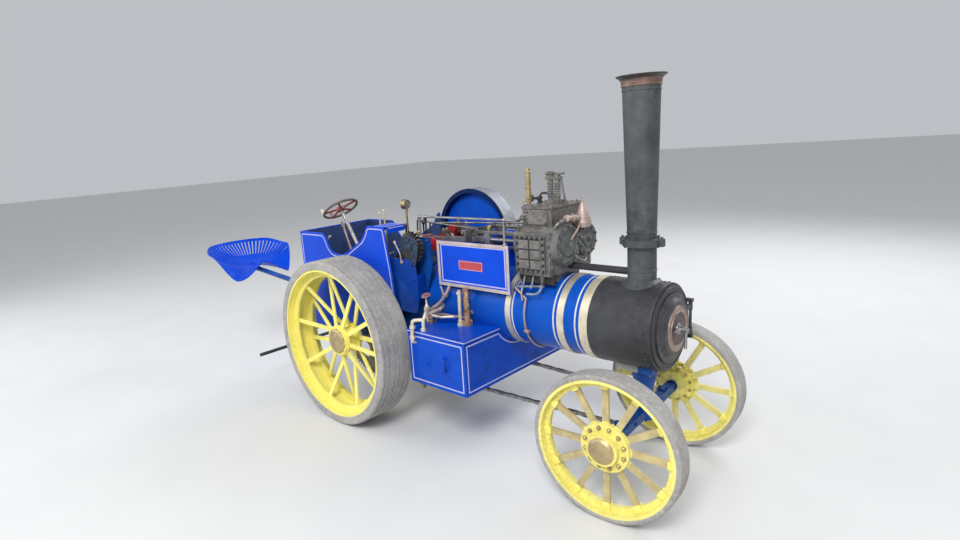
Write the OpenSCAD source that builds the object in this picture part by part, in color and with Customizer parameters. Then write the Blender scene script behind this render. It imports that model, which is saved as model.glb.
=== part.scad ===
// Miniature steam traction engine, about a third of full size
// X points to the chimney, Y to the engine's left, Z up, and the ground is at zero

/* [Rear wheels] */
// Radius over the rubber tyre
rear_r = 330; // [300:5:360]
// Width of the rubber tyre
rear_tyre_w = 147; // [120:1:170]
// Thickness of the rubber tyre
rear_tyre_t = 33; // [20:1:40]
// From the middle of the engine to the middle of a rear tyre
rear_track_y = 311.5; // [305:0.5:330]
// Thickness of the rolled rim
rear_rim_t = 8; // [5:1:10]
// Depth of the two rings inside the rim that carry the spokes
rear_web_h = 26; // [18:1:34]
// Distance of each ring from the middle of the wheel
rear_web_y = 34; // [26:1:46]
// Number of spokes in each of the two rows
rear_spokes = 9; // [8:1:14]
// Width of a flat rear spoke
rear_spoke_w = 17; // [12:1:22]
// Thickness of a flat rear spoke
rear_spoke_t = 6; // [4:1:8]
// Radius of the two flanges of the hub
rear_hub_r = 62; // [56:1:75]
// Radius of the rear axle
rear_axle_r = 20; // [16:1:26]

/* [Front wheels] */
// Radius over the rubber tyre
front_r = 214; // [190:2:230]
// Width of the rubber tyre
front_tyre_w = 64; // [50:1:76]
// Thickness of the rubber tyre
front_tyre_t = 14; // [10:1:20]
// From the middle of the axle to the middle of a front tyre
front_track_y = 261.5; // [255:0.5:275]
// Thickness of the rolled rim
front_rim_t = 9; // [6:1:12]
// Depth of the ring inside the rim
front_web_h = 15; // [10:1:20]
// Number of spokes
front_spokes = 12; // [8:1:16]
// Width of a flat front spoke
front_spoke_w = 19; // [12:1:24]
// Thickness of a flat front spoke
front_spoke_t = 9; // [5:1:12]
// Radius of the round flange that clamps the spokes
front_hub_r = 71; // [60:1:80]
// Radius of the axle's journals
front_axle_r = 13; // [10:1:18]
// Distance between the axles
wheelbase = 1115; // [1100:5:1150]
// How far the front axle is turned to the left as the engine stands
steer_rest = 3.3; // [0:0.1:6]

/* [Boiler] */
// Height of the boiler's middle above the ground
boiler_z = 495; // [485:1:505]
// Radius over the boiler's cladding
boiler_r = 128; // [120:1:132]
// Thickness of the brass bands and rings over the cladding
band_t = 3; // [2:0.5:5]
// Half of the width of the firebox, to the inner faces of the hornplates
firebox_y = 132; // [128:1:136]
// Front of the firebox ahead of the rear axle
firebox_front = 290; // [280:1:300]
// Back of the firebox ahead of the rear axle
firebox_back = 40; // [36:1:60]
// Bottom of the firebox
firebox_z = 268; // [255:1:280]
// Thickness of the firebox's plates
plate_t = 10; // [6:1:14]
// Thickness of a hornplate
horn_t = 6; // [5:1:8]
// Back of the smokebox ahead of the rear axle
smokebox_back = 998; // [980:2:1010]
// Front of the smokebox ahead of the rear axle
smokebox_front = 1187; // [1180:1:1200]
// Radius over the smokebox
smokebox_r = 131; // [126:1:134]
// Thickness of the smokebox's plate
smokebox_t = 6; // [4:1:8]
// Radius of the smokebox door
door_r = 104; // [95:1:112]

/* [Chimney] */
// Middle of the chimney ahead of the rear axle
chimney_x = 1108; // [1095:1:1120]
// Height of the chimney's top above the ground
chimney_top = 1207; // [1180:1:1230]
// Height of the joint ring between the two tubes
chimney_joint = 742; // [730:1:760]
// Outer radius of the lower tube
chimney_low_r = 41; // [38:1:46]
// Outer radius of the upper tube at its top
chimney_high_r = 52; // [48:1:60]
// Radius of the cap
chimney_cap_r = 69; // [64:1:74]
// Height of the cap
chimney_cap_h = 30; // [26:1:60]
// Thickness of the chimney's tubes
chimney_t = 5; // [3:0.5:6]

/* [Cylinders] */
// Height of the two cylinders' axes above the ground
cyl_z = 727; // [722:1:732]
// Back face of the cylinder block ahead of the rear axle
cyl_back = 735; // [730:1:745]
// Length of the cylinder block
cyl_len = 145; // [135:1:155]
// Radius of the cast barrel of the large cylinder, on the right
cyl_low_r = 66; // [60:1:68]
// Radius of the cast barrel of the small cylinder, on the left
cyl_high_r = 54; // [48:1:56]
// Top of the block, where the safety valves stand
cyl_top = 850; // [840:1:860]
// Top of the safety valves
valve_top = 952; // [935:1:965]

/* [Motion] */
// Crankshaft's place ahead of the rear axle
crank_x = 302; // [300:1:306]
// Crankshaft's height above the ground
crank_z = 700; // [695:1:705]
// Throw of both cranks
crank_throw = 42; // [36:1:44]
// Radius of the crankshaft
crank_r = 14; // [12:1:16]
// Length of the connecting rods between their pins
rod_len = 290; // [280:1:295]
// Radius of the flywheel
flywheel_r = 182; // [170:1:186]
// Width of the flywheel's rim
flywheel_w = 66; // [60:1:68]
// Middle of the flywheel from the middle of the engine
flywheel_y = 198; // [197:0.5:200]

/* [Gears] */
// Pitch radius of the large gear on the rear axle
bull_r = 190; // [180:1:196]
// Width of the gears' teeth
gear_w = 12; // [10:1:12]
// Size of the gears' teeth, pitch diameter over number of teeth
gear_module = 5; // [4:0.5:5]

/* [Tender] */
// Back of the tender behind the rear axle
tender_back = 400; // [390:2:410]
// Half of the width over the tender's side sheets
tender_y = 200; // [198:1:206]
// Thickness of the tender's sheets
sheet_t = 4; // [3:0.5:5]
// Bottom of the tender
tender_z = 292; // [285:1:300]
// Top of the side sheets at the back
tender_top = 731; // [720:1:740]
// Top of the side sheets at the front
tender_front_top = 775; // [760:1:785]

/* [Belly tank] */
// Back of the tank ahead of the rear axle
tank_back = 378; // [374:1:384]
// Length of the tank
tank_len = 267; // [250:1:280]
// Half of the width of the tank
tank_y = 293; // [285:1:296]
// Bottom of the tank
tank_z = 240; // [238:1:246]
// Top of the tank's sides
tank_top = 425; // [415:1:432]
// Thickness of the two covers on the tank
cover_t = 9; // [6:1:12]

/* [Steering] */
// Middle of the steering wheel behind the rear axle
wheel_back = 102; // [95:1:110]
// Height of the steering wheel's middle
wheel_z = 836; // [825:1:845]
// Radius of the steering wheel
wheel_r = 72; // [64:1:84]
// Distance of the steering shaft from the middle of the engine
column_y = 181; // [180:0.5:183]
// Chain roller's place ahead of the rear axle
roller_x = 334; // [330:1:338]
// Radius of the chain roller
roller_r = 16; // [13:1:18]
// Radius of the worm wheel at the end of the roller
worm_wheel_r = 28; // [24:1:30]
// Distance of the steering chains from the middle of the engine
chain_y = 120; // [119:1:121]
// Height of the chain roller's shaft above the ground
roller_z = 206; // [204:1:207]
// Height of the chains' eyes behind the front axle
eye_z = 212; // [208:1:216]
// Length of one chain link between its pins
chain_pitch = 30; // [24:1:36]
// Width of the chain over its outer plates
chain_w = 14; // [12:1:14]
// Height of a chain plate
chain_h = 10; // [8:1:12]

/* [Seat] */
// Middle of the pan seat behind the rear axle
seat_back = 985; // [960:5:1000]
// Distance of the seat's middle to the right
seat_y = 150; // [140:1:160]
// Height of the seat's lowest place
seat_z = 513; // [500:1:520]
// Half of the width of the seat
seat_r = 218; // [205:1:225]
// Distance of the footrest behind the rear axle
footrest_back = 608; // [590:2:620]
// Height of the footrest
footrest_z = 155; // [140:1:170]
// Half of the length of the footrest
footrest_half = 216; // [180:2:220]

/* [Hidden] */
$fn = 64;
// Running clearance of a shaft in its bore
run = 0.06;
// Gap between pieces that sit close but are not fitted
seat_gap = 0.3;

// The seat's rim by angle from its back: share of its radius that it reaches, and its rise
pan_reach = [[0, 0.88], [45, 0.97], [90, 1], [127, 0.84], [180, 0.62]];
pan_rise = [[0, 116], [45, 114], [90, 86], [127, -48], [180, 28]];
// Overall length from the seat's back edge to the foremost tyre, which sets the origin at its middle
front_reach = wheelbase + front_track_y * sin(steer_rest) + front_r * cos(steer_rest)
    + front_tyre_w / 2 * sin(steer_rest);
rear_reach = seat_back + seat_r * pan_reach[0][1];
x0 = (rear_reach - front_reach) / 2;

// Front of the tender's water tank, where the hornplates end
tank_front = -200;
rear_rim_r = rear_r - rear_tyre_t;
// From the middle of a rear tyre to the inner end of its hub
rear_hub_in = 66;
front_rim_r = front_r - front_tyre_t;
firebox_r = firebox_y;

// Shapes along the axes, from one coordinate to another
module y_rod(x, z, y_a, y_b, r) {
    translate([x, y_b, z]) rotate([90, 0, 0]) cylinder(h = y_b - y_a, r = r);
}
module x_rod(y, z, x_a, x_b, r) {
    translate([x_a, y, z]) rotate([0, 90, 0]) cylinder(h = x_b - x_a, r = r);
}
module z_rod(x, y, z_a, z_b, r) {
    translate([x, y, z_a]) cylinder(h = z_b - z_a, r = r);
}
module block(x_a, x_b, y_a, y_b, z_a, z_b) {
    translate([x_a, y_a, z_a]) cube([x_b - x_a, y_b - y_a, z_b - z_a]);
}
// A plate that stands along the engine, from an outline in X and Z
module side_plate(y_a, t) {
    translate([0, y_a + t, 0]) rotate([90, 0, 0]) linear_extrude(t) children();
}
// A plate that stands across the engine, from an outline in Y and Z
module cross_plate(x_a, t) {
    translate([x_a, 0, 0]) rotate([90, 0, 90]) linear_extrude(t) children();
}
module rod(a, b, r) {
    v = b - a;
    translate(a) rotate([0, acos(v[2] / norm(v)), atan2(v[1], v[0])]) cylinder(h = norm(v), r = r);
}
// A pipe through a few points, with an elbow at each bend
module pipe(points, r) {
    for (i = [1 : len(points) - 1]) rod(points[i - 1], points[i], r);
    for (i = [1 : len(points) - 2]) translate(points[i]) sphere(r = r * 1.06);
}
module both_sides() {
    children();
    mirror([0, 1, 0]) children();
}
// A turned ring along Y whose outline is given as radius and distance along Y
module turned_y() {
    rotate([90, 0, 0]) mirror([0, 0, 1]) rotate_extrude($fn = 96) children();
}
// A toothed gear outline with straight-sided teeth, one of them along X
function gear_teeth(pitch_r) = round(2 * pitch_r / gear_module);
function gear_gap(pitch_r) = 180 + 180 / gear_teeth(pitch_r);
module gear_2d(pitch_r, bore_r) {
    teeth = gear_teeth(pitch_r);
    step = 360 / teeth;
    root_r = pitch_r - gear_module * 1.1;
    tip_r = pitch_r + gear_module * 0.9;
    difference() {
        polygon([for (i = [0 : teeth - 1], k = [[-0.22, 0], [-0.1, 1], [0.1, 1], [0.22, 0]])
            let (r = k[1] == 1 ? tip_r : root_r, a = (i + k[0]) * step) [r * cos(a), r * sin(a)]]);
        circle(r = bore_r);
    }
}

// Boiler, firebox and the plates that carry the engine
module boiler_barrel() {
    color("royalblue") x_rod(0, boiler_z, firebox_front, smokebox_back, boiler_r);
}

// Brass bands around the cladding: start ahead of the rear axle and width
band_list = [[690, 22], [892, 24], [smokebox_back - 28, 28]];
module boiler_bands() {
    color("goldenrod") for (b = band_list) difference() {
        x_rod(0, boiler_z, b[0], b[0] + b[1], boiler_r + band_t);
        x_rod(0, boiler_z, b[0] - 1, b[0] + b[1] + 1, boiler_r);
    }
}

module firebox_outline(inset, bottom) {
    translate([0, boiler_z]) circle(r = firebox_r - inset);
    translate([inset - firebox_y, bottom]) square([2 * (firebox_y - inset), boiler_z - bottom]);
}
firehole_z = 420;
firehole_r = 38;
firehole_door_r = firehole_r + 12;
fire_hinge_x = firebox_back - seat_gap - 9;
fire_hinge_y = firehole_door_r + 18;
// Front face of the back plate, where the firebox meets it
inner_back = firebox_back + 3 * plate_t;
module firebox() {
    color("royalblue") difference() {
        cross_plate(inner_back, firebox_front - inner_back) firebox_outline(0, firebox_z);
        block(inner_back - 1, firebox_front - 3 * plate_t,
            3 * plate_t - firebox_y, firebox_y - 3 * plate_t, firebox_z - 1, firehole_z + firehole_r + 30);
    }
}
module backhead() {
    color("royalblue") difference() {
        union() {
            cross_plate(firebox_back, inner_back - firebox_back) firebox_outline(0, firebox_z);
            for (s = [-1, 1]) block(fire_hinge_x - 7, firebox_back + 1, fire_hinge_y - 7, fire_hinge_y + 7,
                firehole_z + s * 21 - 4, firehole_z + s * 21 + 4);
        }
        x_rod(0, firehole_z, firebox_back - 1, inner_back + 1, firehole_r);
        z_rod(fire_hinge_x, fire_hinge_y, firehole_z - 30, firehole_z + 30, pin_r + run);
    }
}

module ashpan() {
    t = 3;
    h = 24;
    color("dimgray") difference() {
        block(firebox_back + plate_t, firebox_front - plate_t, plate_t - firebox_y, firebox_y - plate_t,
            firebox_z - h, firebox_z);
        block(firebox_back + plate_t + t, firebox_front - plate_t - t, plate_t + t - firebox_y,
            firebox_y - plate_t - t, firebox_z - h + t, firebox_z + 1);
        block(firebox_back, firebox_back + plate_t + t + 1, -60, 60, firebox_z - h + t, firebox_z - 8);
    }
}

// Side plates from the rear axle's bearings up to the crankshaft's
horn_back = tank_front;
bush_t = 6;
lug_r = 18;
horn_front = crank_x + 62;
horn_top = crank_z + 34;
module horn_outline() {
    difference() {
        union() {
            polygon([
                [horn_back, tender_z], [160, tender_z], [220, firebox_z - 38], [roller_x, roller_z - lug_r],
                [roller_x, roller_z + lug_r], [firebox_front + 20, firebox_z + 10],
                [firebox_front + 20, 470], [horn_front, 620], [horn_front, horn_top],
                [crank_x - 70, horn_top], [60, 560], [horn_back, 440]
            ]);
            translate([roller_x, roller_z]) circle(r = lug_r);
        }
        translate([0, rear_r]) circle(r = rear_axle_r + seat_gap);
        translate([crank_x, crank_z]) circle(r = crank_r + bush_t);
        translate([roller_x, roller_z]) circle(r = roller_shaft_r + run);
    }
}
module hornplates() {
    color("royalblue") both_sides() side_plate(firebox_y, horn_t) horn_outline();
}

// Smokebox with its front ring and hinged door
ring_t = 9;
module smokebox() {
    color("dimgray") difference() {
        union() {
            x_rod(0, boiler_z, smokebox_back, smokebox_front, smokebox_r);
            x_rod(0, boiler_z, smokebox_front, smokebox_front + ring_t, smokebox_r - 8);
            for (s = [-1, 1]) block(smokebox_front - 3, hinge_x + 7, hinge_y - 7, hinge_y + 7,
                boiler_z + s * lug_up - 5, boiler_z + s * lug_up + 5);
        }
        z_rod(hinge_x, hinge_y, boiler_z - lug_up - 6, boiler_z + lug_up + 6, pin_r + run);
        x_rod(0, boiler_z, smokebox_back + smokebox_t, smokebox_front - smokebox_t, smokebox_r - smokebox_t);
        x_rod(0, boiler_z, smokebox_front - smokebox_t - 1, smokebox_front + ring_t + 1, door_r - 12);
        z_rod(chimney_x, 0, boiler_z, boiler_z + smokebox_r + 10, chimney_low_r - chimney_t);
    }
}

door_x = smokebox_front + ring_t + seat_gap;
door_t = 5;
door_dish = 16;
hinge_x = door_x + door_t + 3;
hinge_y = door_r + 12;
lug_up = 56;
pin_r = 4;
module smokebox_door() {
    color("dimgray") union() {
        translate([door_x, 0, boiler_z]) rotate([0, 90, 0]) rotate_extrude($fn = 96) polygon([
            [0, door_dish], [0, door_dish + door_t], [46, door_dish + door_t], [80, door_dish + door_t - 3],
            [door_r - 14, door_t + 2], [door_r, door_t], [door_r, 0], [door_r - 16, 0], [78, door_dish - 4]
        ]);
        for (z = [-38, 38])
            block(hinge_x - 3, hinge_x + 3, door_r - 20, hinge_y, boiler_z + z - 8, boiler_z + z + 8);
        for (z = [-38, 38]) z_rod(hinge_x, hinge_y, boiler_z + z - 12, boiler_z + z + 12, 6);
        z_rod(hinge_x, hinge_y, boiler_z - lug_up - 5, boiler_z + lug_up + 5, pin_r);
    }
}
module door_handles() {
    x_a = door_x + door_dish + door_t;
    color("silver") union() {
        x_rod(0, boiler_z, x_a, x_a + 26, 8);
        rod([x_a + 12, 0, boiler_z], [x_a + 14, -50, boiler_z + 8], 4);
        rod([x_a + 21, 0, boiler_z], [x_a + 25, -12, boiler_z - 52], 4.5);
    }
}

module firehole_door() {
    x_b = firebox_back - seat_gap;
    color("dimgray") union() {
        x_rod(0, firehole_z, x_b - 6, x_b, firehole_door_r);
        block(fire_hinge_x - 3, fire_hinge_x + 3, -10, fire_hinge_y, firehole_z - 7, firehole_z + 7);
        z_rod(fire_hinge_x, fire_hinge_y, firehole_z - 16, firehole_z + 16, 6);
        z_rod(fire_hinge_x, fire_hinge_y, firehole_z - 26, firehole_z + 26, pin_r);
        x_rod(-24, firehole_z, x_b - 30, x_b - 6, 4);
    }
}

// Chimney in three castings and tubes
saddle_z = boiler_z + smokebox_r;
module chimney_base() {
    bore = chimney_low_r - chimney_t;
    color("dimgray") difference() {
        union() {
            translate([chimney_x, 0, saddle_z - 26]) rotate_extrude($fn = 96) polygon([
                [0, 0], [62, 0], [62, 20], [50, 27], [chimney_low_r, 32],
                [chimney_low_r, chimney_joint - saddle_z + 26], [0, chimney_joint - saddle_z + 26]
            ]);
            z_rod(chimney_x, 0, chimney_joint - 10, chimney_joint, chimney_low_r + 14);
        }
        z_rod(chimney_x, 0, saddle_z - 60, chimney_joint + 1, bore);
        x_rod(0, boiler_z, chimney_x - 100, chimney_x + 100, smokebox_r);
    }
}
module chimney_barrel() {
    band_z = chimney_top - chimney_cap_h;
    color("dimgray") translate([chimney_x, 0, 0]) rotate_extrude($fn = 96) polygon([
        [chimney_low_r - chimney_t, chimney_joint], [chimney_low_r + 14, chimney_joint],
        [chimney_low_r + 14, chimney_joint + 10], [chimney_low_r, chimney_joint + 12],
        [chimney_high_r, band_z], [chimney_high_r - chimney_t, band_z],
        [chimney_low_r - chimney_t, chimney_joint + 12]
    ]);
}
module chimney_cap() {
    z_a = chimney_top - chimney_cap_h;
    flare = chimney_cap_r - chimney_high_r;
    color("saddlebrown") translate([chimney_x, 0, 0]) rotate_extrude($fn = 96) polygon([
        [chimney_high_r - chimney_t, z_a], [chimney_high_r + 2, z_a], [chimney_high_r + 2, z_a + 9],
        [chimney_high_r + 0.2 * flare, chimney_top - 14], [chimney_high_r + 0.45 * flare, chimney_top - 8],
        [chimney_cap_r - 3, chimney_top - 4], [chimney_cap_r, chimney_top], [chimney_cap_r - 5, chimney_top],
        [chimney_high_r + 1, chimney_top - 8], [chimney_high_r - chimney_t, chimney_top - 15]
    ]);
}

// Cylinder block with the large cylinder on the right and the small one on the left
cyl_front = cyl_back + cyl_len;
low_y = -54;
high_y = 62;
block_y_a = low_y - cyl_low_r;
block_y_b = high_y + cyl_high_r;
module cylinder_block() {
    color("gray") difference() {
        union() {
            block(cyl_back + 5, cyl_front - 10, block_y_a, block_y_b, cyl_z - 92, cyl_z + 44);
            block(cyl_back + 12, cyl_front - 24, block_y_a + 36, block_y_b - 34, cyl_z, cyl_top);
            x_rod(low_y, cyl_z, cyl_back, cyl_front, cyl_low_r);
            x_rod(high_y, cyl_z, cyl_back, cyl_front, cyl_high_r);
            block(cyl_back + 20, cyl_front - 20, -62, 62, boiler_z + 60, cyl_z);
        }
        x_rod(0, boiler_z, cyl_back, cyl_front, boiler_r + seat_gap);
    }
}
cover_x = 12;
module cylinder_covers() {
    color("gray") {
        x_rod(low_y, cyl_z, cyl_front, cyl_front + cover_x, cyl_low_r);
        x_rod(high_y, cyl_z, cyl_front, cyl_front + cover_x, cyl_high_r);
        block(cyl_back + 14, cyl_front - 24, block_y_a - 10, block_y_a, cyl_z - 80, cyl_z + 34);
        for (c = [[low_y, cyl_low_r], [high_y, cyl_high_r]]) difference() {
            union() {
                x_rod(c[0], cyl_z, cyl_back - 8, cyl_back, c[1] - 6);
                x_rod(c[0], cyl_z, cyl_back - 26, cyl_back - 8, 15);
            }
            x_rod(c[0], cyl_z, cyl_back - 27, cyl_back + 1, piston_rod_r + run);
        }
    }
}
module safety_valves() {
    x = cyl_back + 84;
    color("gray") union() {
        block(x - 26, x + 26, -30, 12, cyl_top, cyl_top + 12);
        for (s = [-1, 1]) z_rod(x + s * 13, -9, cyl_top + 10, valve_top - 22, 9);
        block(x - 28, x + 28, -17, -1, valve_top - 26, valve_top - 16);
        z_rod(x - 13, -9, valve_top - 20, valve_top, 12);
        z_rod(x + 13, -9, valve_top - 20, valve_top - 9, 10);
    }
}
module whistle() {
    x = cyl_back - 8;
    z_w = cyl_top - 22;
    color("peru") union() {
        rod([cyl_back + 12, -20, z_w], [x, -20, z_w], 5);
        z_rod(x, -20, z_w - 8, z_w + 40, 6);
        z_rod(x, -20, z_w + 40, valve_top + 14, 9);
    }
}
module lubricator() {
    x = cyl_front + 7;
    color("rosybrown") difference() {
        translate([x, high_y - 18, cyl_z + cyl_high_r - 10]) rotate_extrude() polygon([
            [0, 0], [26, 0], [28, 14], [24, 30], [4, 82], [0, 84]
        ]);
        x_rod(high_y, cyl_z, cyl_back, cyl_front + cover_x + seat_gap, cyl_high_r + seat_gap);
    }
}
module exhaust_pipe() {
    z = cyl_z - 74;
    color("dimgray") difference() {
        x_rod(-10, z, cyl_front - 10, chimney_x, 11);
        z_rod(chimney_x, 0, z - 20, z + 20, chimney_low_r + seat_gap);
    }
}

// Crankshaft, rods and guides
piston_rod_r = 7;
low_crank = 170;
high_crank = 80;
web_t = 12;
web_gap = 24;
horn_out = firebox_y + horn_t;
gear_y = -(horn_out + 3 + gear_w);
outer_gear_y = gear_y - gear_w - 2;
idle_gear_y = outer_gear_y - gear_w - 2;
shaft_right = idle_gear_y - 4;
shaft_left = flywheel_y + flywheel_w / 2 + 6;
function pin_x(a) = crank_x + crank_throw * cos(a);
function pin_z(a) = crank_z + crank_throw * sin(a);
function head_x(a) = pin_x(a) + sqrt(rod_len * rod_len - (cyl_z - pin_z(a)) * (cyl_z - pin_z(a)));

module crank_web(y_a, a) {
    side_plate(y_a, web_t) union() {
        translate([crank_x, crank_z]) circle(r = crank_r + 9);
        translate([pin_x(a), pin_z(a)]) circle(r = crank_r + 7);
        translate([crank_x, crank_z]) rotate(a) {
            translate([0, -crank_r - 4]) square([crank_throw, 2 * crank_r + 8]);
            translate([-crank_r - 26, -crank_r - 6]) square([28, 2 * crank_r + 12]);
        }
    }
}
module crank_throw_at(y, a) {
    for (s = [-1, 1]) crank_web(y - web_t / 2 + s * (web_gap + web_t) / 2, a);
    y_rod(pin_x(a), pin_z(a), y - web_gap / 2 - 1, y + web_gap / 2 + 1, crank_r - 2);
}
module crankshaft() {
    reach = web_gap / 2 + 1;
    color("firebrick") union() {
        crank_throw_at(low_y, low_crank);
        crank_throw_at(high_y, high_crank);
        y_rod(crank_x, crank_z, shaft_right, low_y - reach, crank_r);
        y_rod(crank_x, crank_z, low_y + reach, high_y - reach, crank_r);
        y_rod(crank_x, crank_z, high_y + reach, shaft_left, crank_r);
        for (y = [-8, 12]) y_rod(crank_x + 8, crank_z - 6, y - 7, y + 7, 30);
        side_plate(idle_gear_y, gear_w) translate([crank_x, crank_z]) gear_2d(crank_pinion_r, crank_r - 1);
    }
}

module one_rod(y, a) {
    big = [pin_x(a), y, pin_z(a)];
    small = [head_x(a), y, cyl_z];
    lean = atan2(cyl_z - pin_z(a), head_x(a) - pin_x(a));
    difference() {
        union() {
            side_plate(y - web_gap / 2 + 1, web_gap - 2) translate([big[0], big[2]]) rotate(lean)
                translate([-crank_r - 8, -crank_r - 6]) square([2 * crank_r + 22, 2 * crank_r + 12]);
            side_plate(y - 5, 10) translate([big[0], big[2]]) rotate(lean) polygon([
                [crank_r, -13], [rod_len, -8], [rod_len, 8], [crank_r, 13]]);
            y_rod(small[0], small[2], y - 9, y + 9, 12);
        }
        y_rod(big[0], big[2], y - web_gap, y + web_gap, crank_r - 2 + run);
    }
}
module crosshead(y, a) {
    x = head_x(a) + 12 + seat_gap;
    block(x, x + 22, y - 9, y + 9, cyl_z - bar_gap + seat_gap, cyl_z + bar_gap - seat_gap);
    x_rod(y, cyl_z, x + 20, cyl_back, piston_rod_r);
}
module connecting_rods() {
    color("lightsteelblue") {
        one_rod(low_y, low_crank);
        one_rod(high_y, high_crank);
        crosshead(low_y, low_crank);
        crosshead(high_y, high_crank);
    }
}

bar_gap = 21;
bar_t = 8;
plate_x = crank_x + rod_len - crank_throw - 40;
module slide_bars() {
    color("slategray") {
        for (c = [low_y, high_y]) {
            for (s = [-1, 1]) block(plate_x, cyl_back - 8, c - 9, c + 9,
                cyl_z + s * (bar_gap + bar_t / 2) - bar_t / 2, cyl_z + s * (bar_gap + bar_t / 2) + bar_t / 2);
        }
        difference() {
            block(plate_x - 8, plate_x, block_y_a + 18, block_y_b - 12,
                boiler_z + 60, cyl_z + bar_gap + bar_t + 6);
            x_rod(0, boiler_z, plate_x - 10, plate_x + 10, boiler_r + seat_gap);
            for (y = [low_y, high_y])
                block(plate_x - 10, plate_x + 10, y - 16, y + 16, cyl_z - bar_gap, cyl_z + bar_gap);
            block(plate_x - 10, plate_x + 10, -10, 14, cyl_z - 24, cyl_z);
        }
    }
}

module valve_gear() {
    color("slategray") {
        for (c = [[-8, -10], [12, 10]]) {
            difference() {
                union() {
                    y_rod(crank_x + 8, crank_z - 6, c[0] - 6, c[0] + 6, 38);
                    rod([crank_x + 40, c[0], crank_z], [plate_x - 34, c[0], cyl_z - 16 + c[1]], 5);
                }
                y_rod(crank_x + 8, crank_z - 6, c[0] - 7, c[0] + 7, 30 + run);
            }
        }
        block(plate_x - 42, plate_x - 28, -14, 18, cyl_z - 44, cyl_z + 14);
        x_rod(2, cyl_z - 12, plate_x - 28, cyl_back - 8, 6);
    }
}

bearing_out = horn_out + 7;
module crank_bearings() {
    color("peru") both_sides() difference() {
        union() {
            y_rod(crank_x, crank_z, firebox_y - 8, bearing_out, crank_r + 12);
            block(crank_x - 22, crank_x + 22, firebox_y - 8, firebox_y, crank_z - 34, crank_z + 20);
        }
        y_rod(crank_x, crank_z, 0, 200, crank_r + run);
        side_plate(firebox_y, horn_t) horn_outline();
    }
}

module flywheel() {
    y_a = flywheel_y - flywheel_w / 2;
    rim_in = flywheel_r - 18;
    color("royalblue") translate([crank_x, 0, crank_z]) turned_y() polygon([
        [crank_r + run, flywheel_y - 26], [36, flywheel_y - 26], [36, flywheel_y - 6],
        [rim_in, flywheel_y - 6], [rim_in, y_a], [flywheel_r, y_a], [flywheel_r, y_a + flywheel_w],
        [rim_in, y_a + flywheel_w], [rim_in, flywheel_y + 6], [36, flywheel_y + 6],
        [36, flywheel_y + 26], [crank_r + run, flywheel_y + 26]
    ]);
}

// Gears on the right, outside the hornplate: each pinion meets the next gear, the crankshaft's is slid out
third_lean = 62;
third_pinion_r = 45;
third_gear_r = 96;
second_lean = 23.6;
second_pinion_r = 35;
second_gear_r = 75;
stub_r = 13;
third_x = (bull_r + third_pinion_r) * cos(third_lean);
third_z = rear_r + (bull_r + third_pinion_r) * sin(third_lean);
second_x = third_x + (third_gear_r + second_pinion_r) * cos(second_lean);
second_z = third_z + (third_gear_r + second_pinion_r) * sin(second_lean);
crank_pinion_r = norm([crank_x - second_x, crank_z - second_z]) - second_gear_r;

module holed_gear(x, z, y_a, pitch_r, turn, bore_r) {
    difference() {
        side_plate(y_a, gear_w) translate([x, z]) rotate(turn) gear_2d(pitch_r, bore_r);
        for (a = [0 : 60 : 300]) translate([x, 0, z]) rotate([0, a, 0])
            y_rod(pitch_r * 0.58, 0, y_a - 1, y_a + gear_w + 1, pitch_r * 0.2);
    }
}
module gear_shafts() {
    color("firebrick") {
        union() {
            y_rod(second_x, second_z, outer_gear_y - 3, -horn_out, stub_r);
            holed_gear(second_x, second_z, outer_gear_y, second_gear_r, 0, stub_r - 1);
            side_plate(gear_y, gear_w) translate([second_x, second_z])
                rotate(second_lean + gear_gap(second_pinion_r)) gear_2d(second_pinion_r, stub_r - 1);
        }
        union() {
            y_rod(third_x, third_z, outer_gear_y - 3, -horn_out, stub_r);
            holed_gear(third_x, third_z, gear_y, third_gear_r, second_lean, stub_r - 1);
            side_plate(outer_gear_y, gear_w) translate([third_x, third_z])
                rotate(third_lean + gear_gap(third_pinion_r)) gear_2d(third_pinion_r, stub_r - 1);
        }
    }
}
module rear_axle() {
    half = rear_track_y + 20;
    collar_y = rear_track_y - rear_hub_in - 7;
    color("firebrick") union() {
        y_rod(0, rear_r, -half, half, rear_axle_r);
        for (s = [-1, 1]) y_rod(0, rear_r, s * collar_y - 6, s * collar_y + 6, rear_axle_r + 10);
        holed_gear(0, rear_r, outer_gear_y, bull_r, third_lean, rear_axle_r - 1);
    }
}

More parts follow.
